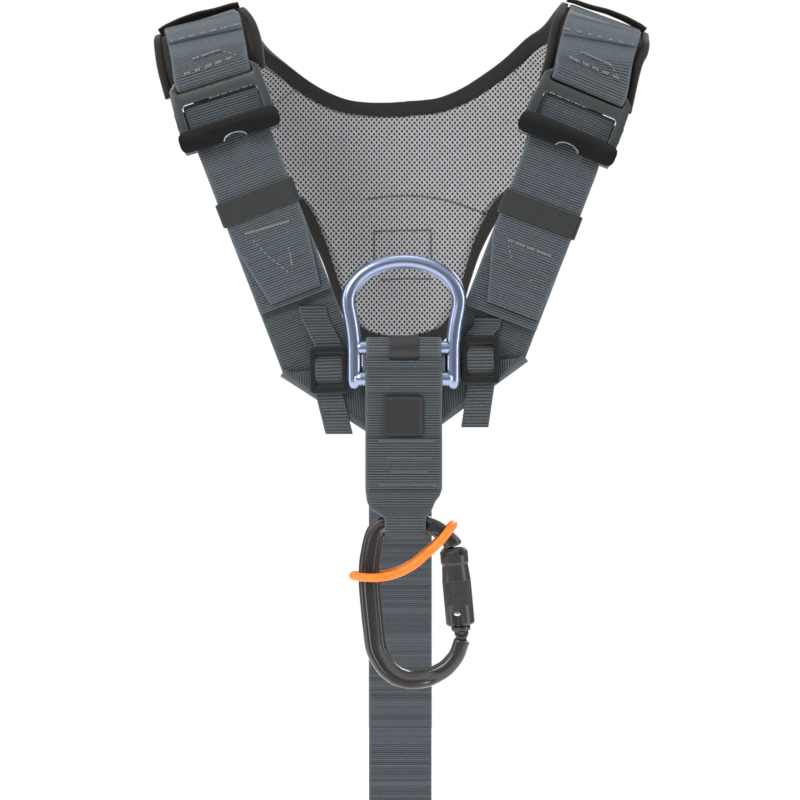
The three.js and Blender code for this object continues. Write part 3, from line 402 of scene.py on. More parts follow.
def lathe(profile, sides, pivot, axis, shape=None):
    """Turns (radius, height) pairs round an axis. shape(radius, height, angle) may change a radius."""
    forward = vec(0, -1, 0)
    sideways = np.cross(forward, axis)
    angle = circle(sides)
    rings = []
    for r, z in profile:
        radius = np.full(sides, float(r)) if shape is None else shape(r, z, angle)
        rings.append(pivot + axis * z + (radius * np.cos(angle))[:, None] * forward
                     + (radius * np.sin(angle))[:, None] * sideways)
    return skin(rings, loop=True)


# ---------- materials

def linear(r, g, b):
    """8-bit display colour as a linear one."""
    def one(c):
        c /= 255
        return c / 12.92 if c <= 0.04045 else ((c + 0.055) / 1.055) ** 2.4
    return (one(r), one(g), one(b), 1.0)


def grey(value):
    return (value, value, value, 1.0)


def shaded(colour, share):
    """A colour made darker to a share of its light."""
    return tuple(c * share for c in colour[:3]) + (1.0,)


def set_inputs(tree, node, values):
    """Gives each input its value, or a link from another node's socket."""
    for name, value in values.items():
        if isinstance(value, bpy.types.NodeSocket):
            tree.links.new(value, node.inputs[name])
        else:
            node.inputs[name].default_value = value


def added(tree, kind, values=None):
    node = tree.nodes.new("ShaderNode" + kind)
    set_inputs(tree, node, values or {})
    return node


def principled(name, colour, rough, metal=0.0, coat=0.0, sheen=0.0):
    material = bpy.data.materials.new(name)
    material.use_nodes = True
    tree = material.node_tree
    shader = tree.nodes["Principled BSDF"]
    set_inputs(tree, shader, {"Base Color": colour, "Roughness": rough, "Metallic": metal,
                              "Coat Weight": coat, "Sheen Weight": sheen})
    return material, tree, shader


def marked(tree, name):
    node = added(tree, "Attribute")
    node.attribute_name = name
    return node.outputs["Fac"]


def ramp(tree, value, stops):
    node = added(tree, "ValToRGB", {"Fac": value})
    first, last = node.color_ramp.elements
    first.position, first.color = stops[0]
    last.position, last.color = stops[-1]
    for position, colour in stops[1:-1]:
        node.color_ramp.elements.new(position).color = colour
    return node.outputs["Color"]


def noise(tree, scale, detail=2.0):
    place = added(tree, "TexCoord").outputs["Object"]
    node = added(tree, "TexNoise", {"Vector": place, "Scale": scale, "Detail": detail})
    return node.outputs["Fac"]


def bumped(tree, shader, height, strength, distance):
    node = added(tree, "Bump", {"Strength": strength, "Distance": distance * MM, "Height": height})
    set_inputs(tree, shader, {"Normal": node.outputs["Normal"]})


def coloured(tree, factor, a, b, mode="MIX"):
    """Mixes two colours by a factor; each may be a value or a socket."""
    node = added(tree, "Mix")
    node.data_type = "RGBA"
    node.blend_type = mode
    first, second = (i for i, s in enumerate(node.inputs) if s.type == "RGBA")
    set_inputs(tree, node, {0: factor, first: a, second: b})
    return next(s for s in node.outputs if s.type == "RGBA")


def calculated(tree, operation, *values):
    node = added(tree, "Math")
    node.operation = operation
    set_inputs(tree, node, dict(enumerate(values)))
    return node.outputs["Value"]


def webbing(name, ridge, groove, variation=0.25, light=None, rough=0.75, grain=1.0):
    """Woven strap: painted shade between the ribs, a little different from rib to rib, speckled by its yarn.
    """
    material, tree, shader = principled(name, ridge, rough, sheen=0.1 * grain)
    # the groove colour in the hollows between the ribs is painted shade; the ribs themselves are modelled too
    base = ramp(tree, marked(tree, "rib"), [(0.0, groove), (0.45, groove), (0.95, ridge)])
    other = coloured(tree, 0.5, base, light or shaded(ridge, 1 - variation))
    toned = coloured(tree, marked(tree, "tone"), base, other)
    speckle = ramp(tree, noise(tree, 1400), [(0.3, grey(0.62)), (0.7, grey(1.3))])
    set_inputs(tree, shader, {"Base Color": coloured(tree, 0.8 * grain, toned, speckle, "MULTIPLY")})
    bumped(tree, shader, noise(tree, 1800), 0.5 * grain, 0.12)
    return material


def cloth(name, colour, rough=0.85, grain=900, depth=0.15, dark=0.6, sheen=0.2):
    """Plain fabric or rubber, speckled between its colour and a darker one."""
    material, tree, shader = principled(name, colour, rough, sheen=sheen)
    base = ramp(tree, noise(tree, grain), [(0.35, shaded(colour, dark)), (0.65, colour)])
    set_inputs(tree, shader, {"Base Color": base})
    bumped(tree, shader, noise(tree, grain), 0.5, depth)
    return material


def spacer_mesh(name):
    """Light knitted mesh with staggered holes painted dark as shade, and dark sewn lines."""
    light, mid, dark = linear(188, 187, 190), linear(152, 151, 154), linear(44, 44, 46)
    material, tree, shader = principled(name, light, 0.9, sheen=0.1)
    knit = ramp(tree, noise(tree, 900), [(0.3, mid), (0.7, light)])

    def waves(mark, turns):
        return calculated(tree, "COSINE", calculated(tree, "MULTIPLY", marked(tree, mark), turns))

    field = calculated(tree, "MULTIPLY", waves("u", 2 * math.pi / HOLE_PITCH), waves("v", math.pi / HOLE_ROW))
    hole = ramp(tree, field, [(0.08, grey(0.0)), (0.36, grey(1.0))])
    # the holes take the dark colour: painted shade in their depth
    base = coloured(tree, hole, knit, dark)
    sewn = coloured(tree, marked(tree, "seam"), base, linear(58, 56, 58))
    set_inputs(tree, shader, {"Base Color": sewn})
    bumped(tree, shader, calculated(tree, "SUBTRACT", 1.0, hole), 0.6, 0.35)
    return material


def metal(name, colour, rough, grain=0.0, metallic=1.0, coat=0.0):
    """Metal or hard plastic; grain is how far its roughness wanders."""
    material, tree, shader = principled(name, colour, rough, metal=metallic, coat=coat)
    if grain:
        spread = added(tree, "MapRange", {"Value": noise(tree, 220, 3.0),
                                          "To Min": max(rough - grain, 0.02), "To Max": rough + grain})
        set_inputs(tree, shader, {"Roughness": spread.outputs["Result"]})
        bumped(tree, shader, noise(tree, 1500), 0.15, 0.03)
    return material


def silicone(name):
    material, tree, shader = principled(name, linear(250, 120, 22), 0.4)
    tint = ramp(tree, noise(tree, 300), [(0.3, linear(244, 118, 18)), (0.7, linear(252, 134, 32))])
    set_inputs(tree, shader, {"Base Color": tint, "Subsurface Weight": 0.1,
                              "Subsurface Radius": (0.004, 0.002, 0.001)})
    return material


# Looks: a slot and its material; a piece is given only the material
# in each webbing(...) look the second colour is painted shade for the hollows between its ribs
WEB = "web", webbing("webbing_main", linear(86, 95, 102), linear(8, 9, 11))
DARK_WEB = "dark_web", webbing("webbing_dark", linear(78, 86, 91), linear(8, 9, 10))
DORSAL = "dark_web", webbing("webbing_dorsal", linear(62, 66, 74), linear(17, 19, 22),
                             light=linear(84, 89, 97))
OUTER = "outer_fabric", cloth("outer_fabric", linear(44, 43, 40), grain=700, sheen=0.05)
BINDING = "binding", cloth("binding_tape", linear(30, 29, 26), grain=1200, sheen=0.05)
ELASTIC = "elastic", webbing("elastic_band", linear(42, 43, 43), linear(20, 21, 21), variation=0.1)
LINING = "mesh", spacer_mesh("spacer_mesh")
FRAME_METAL = "matt_metal", metal("matt_metal", linear(90, 93, 94), 0.33, 0.06, metallic=0.75, coat=0.15)
GLOSS_METAL = "gloss_metal", metal("gloss_metal", linear(16, 16, 17), 0.09, 0.02, metallic=0.3, coat=1.0)
BLUE_METAL = "blue_metal", metal("blue_metal", linear(148, 160, 188), 0.3)
GREY_METAL = "grey_metal", metal("grey_metal", linear(62, 59, 59), 0.29, 0.05, metallic=0.6, coat=0.3)
# the sleeve's second colour is painted shade in the knurl's valleys
SLEEVE_METAL = "grey_metal", webbing("sleeve_metal", linear(46, 46, 47), linear(6, 6, 7),
                                     variation=0.0, rough=0.33, grain=0.1)
PLASTIC = "black_plastic", metal("black_plastic", linear(20, 20, 21), 0.34, 0.05, metallic=0.0, coat=0.2)
RUBBER = "black_rubber", cloth("black_rubber", linear(36, 36, 38), rough=0.5, grain=500, depth=0.05,
                               dark=0.85, sheen=0.0)
SILICONE = "silicone", silicone("silicone")
THREAD = "web", cloth("thread", linear(132, 138, 142), grain=1500, dark=0.7)
TACK_THREAD = "dark_web", cloth("tack_thread", linear(98, 103, 105), grain=1500, dark=0.6)
SILVER = "grey_metal", metal("silver", linear(205, 210, 218), 0.25)
# light metal for the ring round the slider's notch: a painted highlight for the notch's glint
NOTCH_GLINT = "gloss_metal", metal("painted_notch_glint", linear(150, 153, 156), 0.22)

# ---------- yoke


def catmull(points, t):
    """A centripetal Catmull-Rom curve through the points, t from 0 to 1."""
    last = len(points) - 1
    place = last * t
    i = min(int(math.floor(place)), last - 1)
    x = place - i
    p1, p2 = points[i], points[i + 1]
    p0 = points[i - 1] if i > 0 else 2 * points[0] - points[1]
    p3 = points[i + 2] if i + 2 <= last else 2 * points[last] - points[last - 1]
    d0, d1, d2 = (np.linalg.norm(q - p) ** 0.5 for p, q in ((p0, p1), (p1, p2), (p2, p3)))
    start = ((p1 - p0) / d0 - (p2 - p0) / (d0 + d1) + (p2 - p1) / d1) * d1
    end = ((p2 - p1) / d1 - (p3 - p1) / (d1 + d2) + (p3 - p2) / d2) * d1
    c2 = -3 * p1 + 3 * p2 - 2 * start - end
    c3 = 2 * p1 - 2 * p2 + start + end
    return p1 + start * x + c2 * x * x + c3 * x ** 3


def edge_line(rows, k):
    return [vec(r[k] * HALF_SPAN, r[4] * HALF_DEPTH, -r[k + 1] * YOKE_DROP) for r in rows]


LINES = {
    name: (edge_line(rows, 0), edge_line(rows, 2))
    for name, rows in (("left", YOKE_LEFT), ("right", YOKE_RIGHT))
}
FRAME_STEP = 0.02
PAD_STEP = 0.125  # sections of the pad and its bindings, in rows


def yoke_frame(name, row):
    """Neck and edge points, and the directions across, along and out, at a row of the yoke."""
    neck_line, edge_points = LINES[name]
    t = min(max(row / LAST_ROW, 0), 1)
    low, high = max(t - FRAME_STEP, 0), min(t + FRAME_STEP, 1)
    neck, edge = catmull(neck_line, t), catmull(edge_points, t)
    ahead = catmull(neck_line, high) + catmull(edge_points, high)
    behind = catmull(neck_line, low) + catmull(edge_points, low)
    along = unit(ahead - behind)
    across = unit(edge - neck)
    out = unit(np.cross(across, along)) * (-1 if name == "left" else 1)
    return dict(neck=neck, edge=edge, across=across, along=along, out=out, middle=(neck + edge) / 2)


def yoke_rows(step):
    """Rows from the front end of the left shoulder round the back to the right one's."""
    rows = np.arange(0, LAST_ROW + 1e-6, step)
    left = [yoke_frame("left", r) for r in rows]
    right = [yoke_frame("right", r) for r in rows[::-1][1:]]
    return left + right


def build_pad():
    low, high = -PAD_T / 2, PAD_T / 2
    shares = np.array([0, 0.01, 0.03, 0.08, 0.2, 0.35, 0.5, 0.65, 0.8, 0.92, 0.97, 0.99, 1])
    round_off = np.array([0.45, 0.75, 0.92, 1, 1, 1, 1, 1, 1, 1, 0.92, 0.75, 0.45])
    rings = []
    for f in yoke_rows(PAD_STEP):
        p = f["neck"] + shares[:, None] * (f["edge"] - f["neck"])
        top = p + f["out"] * (high * round_off)[:, None]
        under = p + f["out"] * (low * round_off)[:, None]
        rings.append(np.concatenate([top, under[::-1]]))
    piece("pad", skin(rings), OUTER, "yoke_pad")


def build_binding(name, which, turn):
    """Tape folded round the pad's neck or edge; turn is -1 where its open side faces the edge."""
    inner = PAD_T / 2 + GAP * 2
    outer = inner + BINDING_T
    beside = GAP * 2
    section = [(-BINDING_OUTER, inner), (beside, inner), (beside, -inner), (-BINDING_INNER, -inner),
               (-BINDING_INNER - 0.15, -inner - BINDING_T / 2), (-BINDING_INNER, -outer),
               (-BINDING_INNER / 2, -outer), (beside / 2, -outer)]
    for degrees in range(-75, 90, 15):
        angle = math.radians(degrees)
        section.append((beside / 2 + (BINDING_T + beside / 2) * math.cos(angle), outer * math.sin(angle)))
    section += [(beside / 2, outer), (-BINDING_OUTER, outer), (-BINDING_OUTER - 0.15, inner + BINDING_T / 2)]
    rings = []
    for f in yoke_rows(PAD_STEP):
        rings.append([f[which] + f["across"] * w * turn + f["out"] * h for w, h in section])
    piece(name + "_tape", skin(rings), BINDING, name)


# The mesh lining: hole lattice, tucked edge and sewn lines
TUCK_AT = 3.0
TUCKED = PAD_T / 2 + 0.35
PROUD = PAD_T / 2 + GAP + LINING_T

# The photograph's frame: 800 pixels wide, seen from 1400 mm before the plane Y = -50
PIXEL = 0.592
FAR = 1400.0
LOOK_X, LOOK_Z = -1.2, -220.5
HALF_PICTURE = 400


def to_pixels(p):
    grow = (FAR + p[..., 1] + HALF_DEPTH) / FAR * PIXEL
    return HALF_PICTURE + (p[..., 0] - LOOK_X) / grow, HALF_PICTURE - (p[..., 2] - LOOK_Z) / grow


def from_pixel(px, py, y):
    grow = (FAR + y + HALF_DEPTH) / FAR * PIXEL
    return LOOK_X + (px - HALF_PICTURE) * grow, LOOK_Z + (HALF_PICTURE - py) * grow


SEWN_LINES = [
    [(366, 199), (385, 196.5), (405, 195.5), (425, 196.5), (445, 200), (465, 206), (484, 213)],
    [(374, 262), (374, 231), (431, 230), (431, 262)],
    [(381, 280), (405, 278.5), (431, 279)],
]


def lattice(u, v):
    return np.cos(2 * math.pi * u / HOLE_PITCH) * np.cos(math.pi * v / HOLE_ROW)


def distance_to(points, line):
    """Shortest distance from 2D points to a line of 2D points."""
    best = np.full(len(points), 1e9)
    for a, b in zip(line[:-1], line[1:]):
        ab = b - a
        t = np.clip(((points - a) @ ab) / max(ab @ ab, 1e-9), 0, 1)
        best = np.minimum(best, np.linalg.norm(points - a - t[:, None] * ab, axis=1))
    return best


def inside(points, polygon):
    hit = np.zeros(len(points), bool)
    for a, b in zip(polygon, np.roll(polygon, -1, axis=0)):
        if a[1] == b[1]:
            continue
        crosses = (a[1] > points[:, 1]) != (b[1] > points[:, 1])
        x = a[0] + (points[:, 1] - a[1]) * (b[0] - a[0]) / (b[1] - a[1])
        hit ^= crosses & (points[:, 0] < x)
    return hit


def lining_height(edge_distance, hole):
    proud = TUCKED + (PROUD - TUCKED) * smoothstep(BINDING_INNER + 0.1, BINDING_INNER + 1.6, edge_distance)
    return proud - HOLE_DEPTH * smoothstep(0.3, 0.75, hole) * (edge_distance > BINDING_INNER)


def lining_back():
    """The flat back panel as a fine grid."""
    rows = np.arange(FLAT_ROW, LAST_ROW + 1e-6, 0.1)
    frames = [yoke_frame("left", r) for r in rows] + [yoke_frame("right", r) for r in rows[::-1]]
    necks = [f["neck"][[0, 2]] for f in frames]
    edges = [f["edge"][[0, 2]] for f in frames]
    outline = np.array(necks + edges[::-1])
    low, high = outline.min(0), outline.max(0)
    xs = np.arange(low[0], high[0], HOLE_PITCH / 4)
    zs = np.arange(low[1], high[1], HOLE_ROW / 2.5)
    x, z = np.meshgrid(xs, zs, indexing="ij")
    flat = np.stack([x.ravel(), z.ravel()], axis=1)
    within = inside(flat, outline)
    edge_distance = np.zeros(len(flat))
    edge_distance[within] = np.minimum(*(distance_to(flat[within], line) for line in (necks, edges)))
    keep = within & (edge_distance > TUCK_AT)
    seam = np.zeros(len(flat))
    soft = np.zeros(len(flat))
    for pixels in SEWN_LINES:
        line = np.array([from_pixel(px, py, BACK_Y - PROUD) for px, py in pixels])
        away = distance_to(flat, line)
        seam = np.maximum(seam, np.exp(-((away / 0.45) ** 2)))
        soft = np.maximum(soft, 0.8 * np.exp(-((away / 0.9) ** 2)) + 0.25 * np.exp(-((away / 3.5) ** 2)))
    hole = lattice(flat[:, 0], flat[:, 1])
    height = lining_height(edge_distance, hole) - np.minimum(soft, 1.2)
    points = np.stack([flat[:, 0], BACK_Y - height, flat[:, 1]], axis=1)
    number = np.cumsum(keep) - 1
    quads = grid_quads(len(xs), len(zs), wrap=False)
    quads = number[quads[keep[quads].all(axis=1)]]
    return points[keep], quads.tolist(), {"u": flat[keep, 0], "v": flat[keep, 1], "seam": seam[keep]}


def lining_shoulder(name):
    """The lining of one shoulder, up over the arch to the front end."""
    frames = [yoke_frame(name, r) for r in np.arange(0, FLAT_ROW + 0.01, 0.022)]
    widest = max(np.linalg.norm(f["edge"] - f["neck"]) for f in frames)
    columns = int(widest / 0.75)
    shares = np.linspace(0, 1, columns + 1)
    points, us, vs = [], [], []
    for f in frames:
        width = np.linalg.norm(f["edge"] - f["neck"])
        away = TUCK_AT + shares * (width - 2 * TUCK_AT)
        p = f["neck"] + f["across"] * away[:, None]
        lean = 1 if f["middle"][1] > 0 else -1
        v = lean * p[:, 2] + BACK_Y - p[:, 1]
        hole = lattice(p[:, 0], v)
        height = lining_height(np.minimum(away, width - away), hole)
        points.append(p - f["out"] * height[:, None])
        us.append(p[:, 0])
        vs.append(v)
    points = np.array(points)
    quads = grid_quads(len(frames), columns + 1, wrap=False).tolist()
    marks = {"u": np.array(us), "v": np.array(vs), "seam": np.zeros(len(frames) * (columns + 1))}
    return points.reshape(-1, 3), quads, marks


def build_lining():
    piece("lining_back", lining_back(), LINING, "yoke_lining")
    for name in SIDES:
        piece("lining_" + name, lining_shoulder(name), LINING)


# ---------- straps


def plane_frame(side, origin, tilt):
    """Places along a straight strap or in a buckle's plane."""
    angle = math.radians(tilt) * side["sign"]
    down = vec(-math.sin(angle), 0, -math.cos(angle))
    across = vec(math.cos(angle), 0, -math.sin(angle))
    start = vec(origin[0] * HALF_SPAN, 0, -origin[1] * YOKE_DROP)

    def at(u, w, y):
        p = start + down * u + across * w
        return vec(p[0], y, p[2])

    def row(u, y, half, shift=0.0):
        return at(u, shift - half, y), at(u, shift + half, y)

    return dict(at=at, row=row, down=down, across=across, start=start)


TURN = np.linspace(0, math.pi, 9)
KEEPER_ARCH = [(-0.57, 0.6), (-0.53, 0.8), (-0.49, 1.15), (-0.25, 1.75), (0, 1.85), (0.25, 1.3),
               (0.49, 1.2), (0.53, 1.0), (0.57, 0.9)]  # shares of the webbing's width and thickness
KEEPER_HALF = 0.42  # half its height, in rows of the yoke
SLIDER_PASS = [(-0.55, 0), (-0.31, 0.05), (-0.17, 0.85), (-0.1, 1), (0.1, 1), (0.17, 0.85),
               (0.31, 0.05), (0.55, 0)]  # along the small slider and up over its middle bar


def rounded_box(half_w, half_h, corner, first, steps):
    """Points round a box with round corners, from the corner that starts at the angle first."""
    points = []
    for start in range(first, first + 360, 90):
        middle = math.radians(start + 45)
        cx, cy = np.sign([math.cos(middle), math.sin(middle)])
        for degrees in np.linspace(0, 90, steps):
            angle = math.radians(start + degrees)
            points.append((cx * (half_w - corner) + corner * math.cos(angle),
                           cy * (half_h - corner) + corner * math.sin(angle)))
    return points


def pad_point(name, row, w, h):
    """A place over the pad: w across from its middle and h out from it."""
    f = yoke_frame(name, row)
    return f["middle"] + f["across"] * w + f["out"] * h


def pad_rows(name, thirds, h):
    """Rows of webbing on the pad, at thirds of the yoke's rows."""
    half = HALF_WEB * SIDES[name]["sign"]
    return [(pad_point(name, r / 3, -half, h), pad_point(name, r / 3, half, h)) for r in thirds]


def build_loop(name, buckle):
    """The webbing doubled round the buckle's top bar, flattened where it is sewn."""
    bar_u = -FRAME_TOP + TOP_BAR / 2
    bar_y = BUCKLE_Y - FRAME_T / 2
    turn_r = (math.hypot(TOP_BAR, FRAME_T) + WEB_T) / 2 + GAP
    rows = pad_rows(name, (7, 6, 5, 4, 3), SECOND_H)
    rows.append(buckle["row"](bar_u - TOP_BAR, bar_y - turn_r, HALF_WEB))
    rows += [buckle["row"](bar_u + turn_r * math.sin(t), bar_y - turn_r * math.cos(t), HALF_WEB)
             for t in TURN]
    rows += pad_rows(name, (3, 4, 5, 6, 7), FIRST_H)
    shape = strip(rows, plain=lambda x: 0.18 + 0.82 * float(smoothstep(0.24, 0.32, x)))
    return piece("buckle_loop_" + name, shape, WEB, "buckle_webbing_" + name)


def build_over(name, sign):
    """The webbing from the loop's end over the shoulder and down to the middle of the back."""
    rows = pad_rows(name, (5, 6, 7), THIRD_H) + pad_rows(name, range(9, 26), FIRST_H)
    low, high = (vec(sign, BACK_Y + FIRST_H, share * YOKE_DROP) for share in (-0.66, -0.36))
    rows.append((low, high) if sign < 0 else (high, low))
    shape = strip(rows, plain=lambda x: 0.25 if x < 0.05 else 0.8)
    return piece("over_web_" + name, shape, WEB, "shoulder_webbing_" + name)


def build_top_keeper(name):
    rows = []
    for across, height in KEEPER_ARCH:
        w = -across * WEB_W
        h = FIRST_H + BINDING_T + GAP + height * (WEB_T + GAP)
        rows.append([pad_point(name, TOP_ROW + end, w, h) for end in (-KEEPER_HALF, KEEPER_HALF)])
    shape = strip(rows, thickness=WEB_T * 0.9, pitch=1.2, relief=0.06, soften=1.5)
    piece("top_keeper_" + name, shape, OUTER, "shoulder_keeper_" + name)


def build_adjuster(name, side, buckle, strap):
    """The strap from the chest band up round the slider and down again as the tail."""
    back_y, front_y = LOOP_Y + LOOP_R, LOOP_Y - LOOP_R
    rows = [strap["row"](u, STRAP_BACK_Y, HALF_WEB)
            for u in (side["strap_end"], KEEPER_AT + KEEPER_H, KEEPER_AT - 4)]
    rows.append(strap["row"](10, (STRAP_BACK_Y + back_y) / 2 + 0.4, HALF_WEB))
    rows.append(buckle["row"](LIP_FOOT, back_y, HALF_WEB))
    turn_u = LOOP_R - WEB_T / 2 + 1.5 + 0.2
    rows += [buckle["row"](turn_u - LOOP_R * math.sin(t), LOOP_Y + LOOP_R * math.cos(t), HALF_WEB)
             for t in TURN]
    rows.append(buckle["row"](WINDOW_H, front_y, HALF_WEB))
    rows += [strap["row"](u, STRAP_FRONT_Y, HALF_WEB) for u in (6, KEEPER_AT, side["tail_end"] * 0.6)]
    rows.append(strap["row"](side["tail_end"], STRAP_FRONT_Y, WEB_W * 0.35, side["tail_shift"]))
    return piece("adjuster_" + name, strip(rows), WEB, "adjuster_strap_" + name)


def build_keeper(name, strap):
    """The elastic loop round the strap and its tail."""
    deep = (STRAP_BACK_Y - STRAP_FRONT_Y + WEB_T + 2 * GAP) / 2 + KEEPER_T / 2
    wide = HALF_WEB + GAP + KEEPER_T / 2
    middle_y = (STRAP_BACK_Y + STRAP_FRONT_Y) / 2
    ring = rounded_box(wide, deep, 1.0, -90, 4)
    rows = [[strap["at"](u, w, middle_y + y) for u in (KEEPER_AT, KEEPER_AT + KEEPER_H)]
            for w, y in ring + ring[:1]]
    shape = strip(rows, thickness=KEEPER_T, pitch=1.1, relief=0.1, soften=0.2, serration=0.05)
    piece("keeper_" + name, shape, ELASTIC, "elastic_keeper_" + name)


def build_small_strap(name, side):
    """The narrow strap from behind the chest band, through its slider beside the D-ring."""
    beside = RING_LEG + (RING_BAR + SLIDER_W) / 2

    def place(key):
        outwards, share = side[key]
        return vec(RING_MIDDLE + side["sign"] * (beside + outwards), 0, -share * YOKE_DROP)

    def small_row(point, y):
        return [vec(point[0] + half, y, point[2]) for half in (-SMALL_W / 2, SMALL_W / 2)]

    start, end, middle = place("small"), place("small_end"), place("slider")
    slider = plane_frame(side, (middle[0] / HALF_SPAN, side["slider"][1]), side["slider_tilt"] * side["sign"])
    low_y = BAND_FRONT_Y - WEB_T / 2 - GAP - SMALL_T / 2
    face_y = low_y - SMALL_T / 2 - GAP
    over_y = face_y - SLIDER_T / 2 + 0.3 - SMALL_T / 2
    tucked_y = BAND_BACK_Y - WEB_T / 2 - GAP - SMALL_T / 2
    rows = [small_row(start, tucked_y), small_row(start + (slider["start"] - start) * 0.22, tucked_y)]
    rows += [slider["row"](along * SLIDER_H, low_y + (over_y - low_y) * up, SMALL_W / 2)
             for along, up in SLIDER_PASS]
    rows.append(small_row(end, low_y))
    shape = strip(rows, thickness=SMALL_T, pitch=SMALL_PITCH, relief=0.25, columns=6)
    piece("small_web_" + name, shape, DARK_WEB, "small_strap_" + name)


def build_buckle(name, buckle):
    """The buckle's frame and slider, and a light ring round the slider's notch that is a painted highlight for
    its glint.
    """
    remade("buckle_frame_" + name, FRAME_METAL, 0.7)
    remade("buckle_slider_" + name, GLOSS_METAL, 1.3, segments=5)
    # a thin light ring along the notch's rim is a painted highlight, standing for the glint in the notch
    face_y = BUCKLE_Y - FRAME_T - GAP - LIP_T + 0.35
    arc = [buckle["at"](LIP_FOOT - NOTCH_H * math.sin(t), 2 + NOTCH_W * math.cos(t), face_y)
           for t in np.linspace(0.12, math.pi - 0.12, 24)]
    piece("notch_glint_" + name, tube(softened(resampled(arc, 0.4), 1.0), 0.45, sides=14), NOTCH_GLINT)
    remade("small_slider_" + name, PLASTIC, 0.6)


def build_shoulder(name):
    """One shoulder's straps and metal. Returns the pieces that are stitched later."""
    side = SIDES[name]
    buckle = plane_frame(side, side["window"], side["buckle_tilt"])
    strap = plane_frame(side, side["lip"], STRAP_TILT)
    made = {"loop": build_loop(name, buckle), "over": build_over(name, side["sign"])}
    build_top_keeper(name)
    made["tail"] = build_adjuster(name, side, buckle, strap)
    build_keeper(name, strap)
    build_small_strap(name, side)
    build_buckle(name, buckle)
    return made


SLIVER = 0.004  # what is left of the webbing's width at the point of a fold


def build_chest_band():
    """Two side strips and a front one, cut and folded over along a diagonal at each lower corner."""
    top_u = KEEPER_AT + KEEPER_H + 6
    sides = []
    for side in SIDES.values():
        strap = plane_frame(side, side["lip"], STRAP_TILT)
        sides.append((side["sign"], strap, strap["at"](side["corner"], side["sign"] * HALF_WEB, 0)))
    left, right = (corner for _, _, corner in sides)
    direction = unit(right - left)

    def flat(rows, y):
        return [[vec(p[0], y, p[2]) for p in row] for row in rows]

    parts, inners = [], []
    for sign, strap, corner in sides:
        down = strap["down"]
        line = unit(down + direction * -sign)
        angle = math.acos(float(np.clip(down @ line, -1, 1)))
        inner = corner + line * (WEB_W / math.sin(angle))
        inners.append(inner)
        outer_top, inner_top = (strap["at"](top_u, half, 0) for half in (sign * HALF_WEB, -sign * HALF_WEB))
        reach, far = float((corner - outer_top) @ down), float((inner - inner_top) @ down)
        first = min(reach, far)
        rows = [(outer_top, inner_top), (outer_top + down * first, inner_top + down * first)]
        if reach < far:
            rows.append((inner_top + down * (far - 0.3) + (corner - inner) * SLIVER, inner))
        else:
            rows.append((corner, corner + (inner - corner) * SLIVER))
        parts.append(strip(flat(rows, BAND_BACK_Y), out=(0, -1, 0), soften=0.01))
        fold = resampled(flat([(corner, inner)], BAND_BACK_Y - FOLD_R)[0], 2.0)
        p, f, _ = tube(fold, FOLD_R + WEB_T / 2, sides=20)
        parts.append((p, f, {"rib": np.ones(len(p)), "tone": np.full(len(p), 0.4)}))

    # the front strip's upper and lower edges run from fold to fold
    along_l, total = float((inners[0] - left) @ direction), float((right - left) @ direction)
    along_r = float((right - inners[1]) @ direction)
    drop = (inners[0] - left) - direction * along_l
    rows = [(left, left + drop * SLIVER)]
    for along in (along_l, total - along_r):
        rows.append((left + direction * along, left + direction * along + drop))
    rows.append((right, right + drop * SLIVER))
    parts.append(strip(flat(rows, BAND_FRONT_Y), out=(0, -1, 0), soften=0.01))
    piece("chest_web", merged(parts), DARK_WEB, "chest_band")


def cross_row(y, z, half, shift=0.0):
    return vec(RING_MIDDLE + shift - half, y, z), vec(RING_MIDDLE + shift + half, y, z)


FRONT_RUN_Y = RING_Y + 1.6
BACK_RUN_Y = RING_Y + 5
EYE_Y = (FRONT_RUN_Y + BACK_RUN_Y) / 2


def circle_rows(radius, z, degrees, half, y=RING_Y, shift=0.0):
    return [cross_row(y + radius * math.cos(t), z + radius * math.sin(t), half, shift)
            for t in np.radians(degrees)]


def build_upper_roll():
    """The webbing round the ring's upper bar, down behind the chest band, with its label."""
    rows = circle_rows(UPPER_BAR_R + GAP + ROLL_T / 2, UPPER_BAR_Z, np.arange(310, 24, -14.25), HALF_ROLL)
    behind = BAND_BACK_Y + WEB_T / 2 + GAP + ROLL_T / 2
    for y, below in (((RING_Y + behind) / 2 + 2.5, -0.5), (behind - 1, 3.2), (behind, 8), (behind, WEB_W)):
        rows.append(cross_row(y, UPPER_BAR_Z - below, HALF_ROLL))
    piece("upper_roll", strip(rows, thickness=ROLL_T, soften=0.5), WEB, "ring_roll")
    rows = circle_rows(UPPER_BAR_R + 2 * GAP + ROLL_T + 0.4, UPPER_BAR_Z, np.arange(100, 251, 10), LABEL_W / 2)
    shape = strip(rows, thickness=0.8, pitch=1.2, relief=0.0, soften=0.1, serration=0)
    piece("label_face", shape, RUBBER, "roll_label")


NECK = [(17, HALF_WEB - 0.8, -0.4), (13, HALF_WEB - 2.6, -1.6), (9, HALF_WEB - 4.4, -1.4)]
EYE_HALF, EYE_SHIFT = 12.0, 0.9  # webbing gathered round the carabiner
BETWEEN_HALF = 24.2


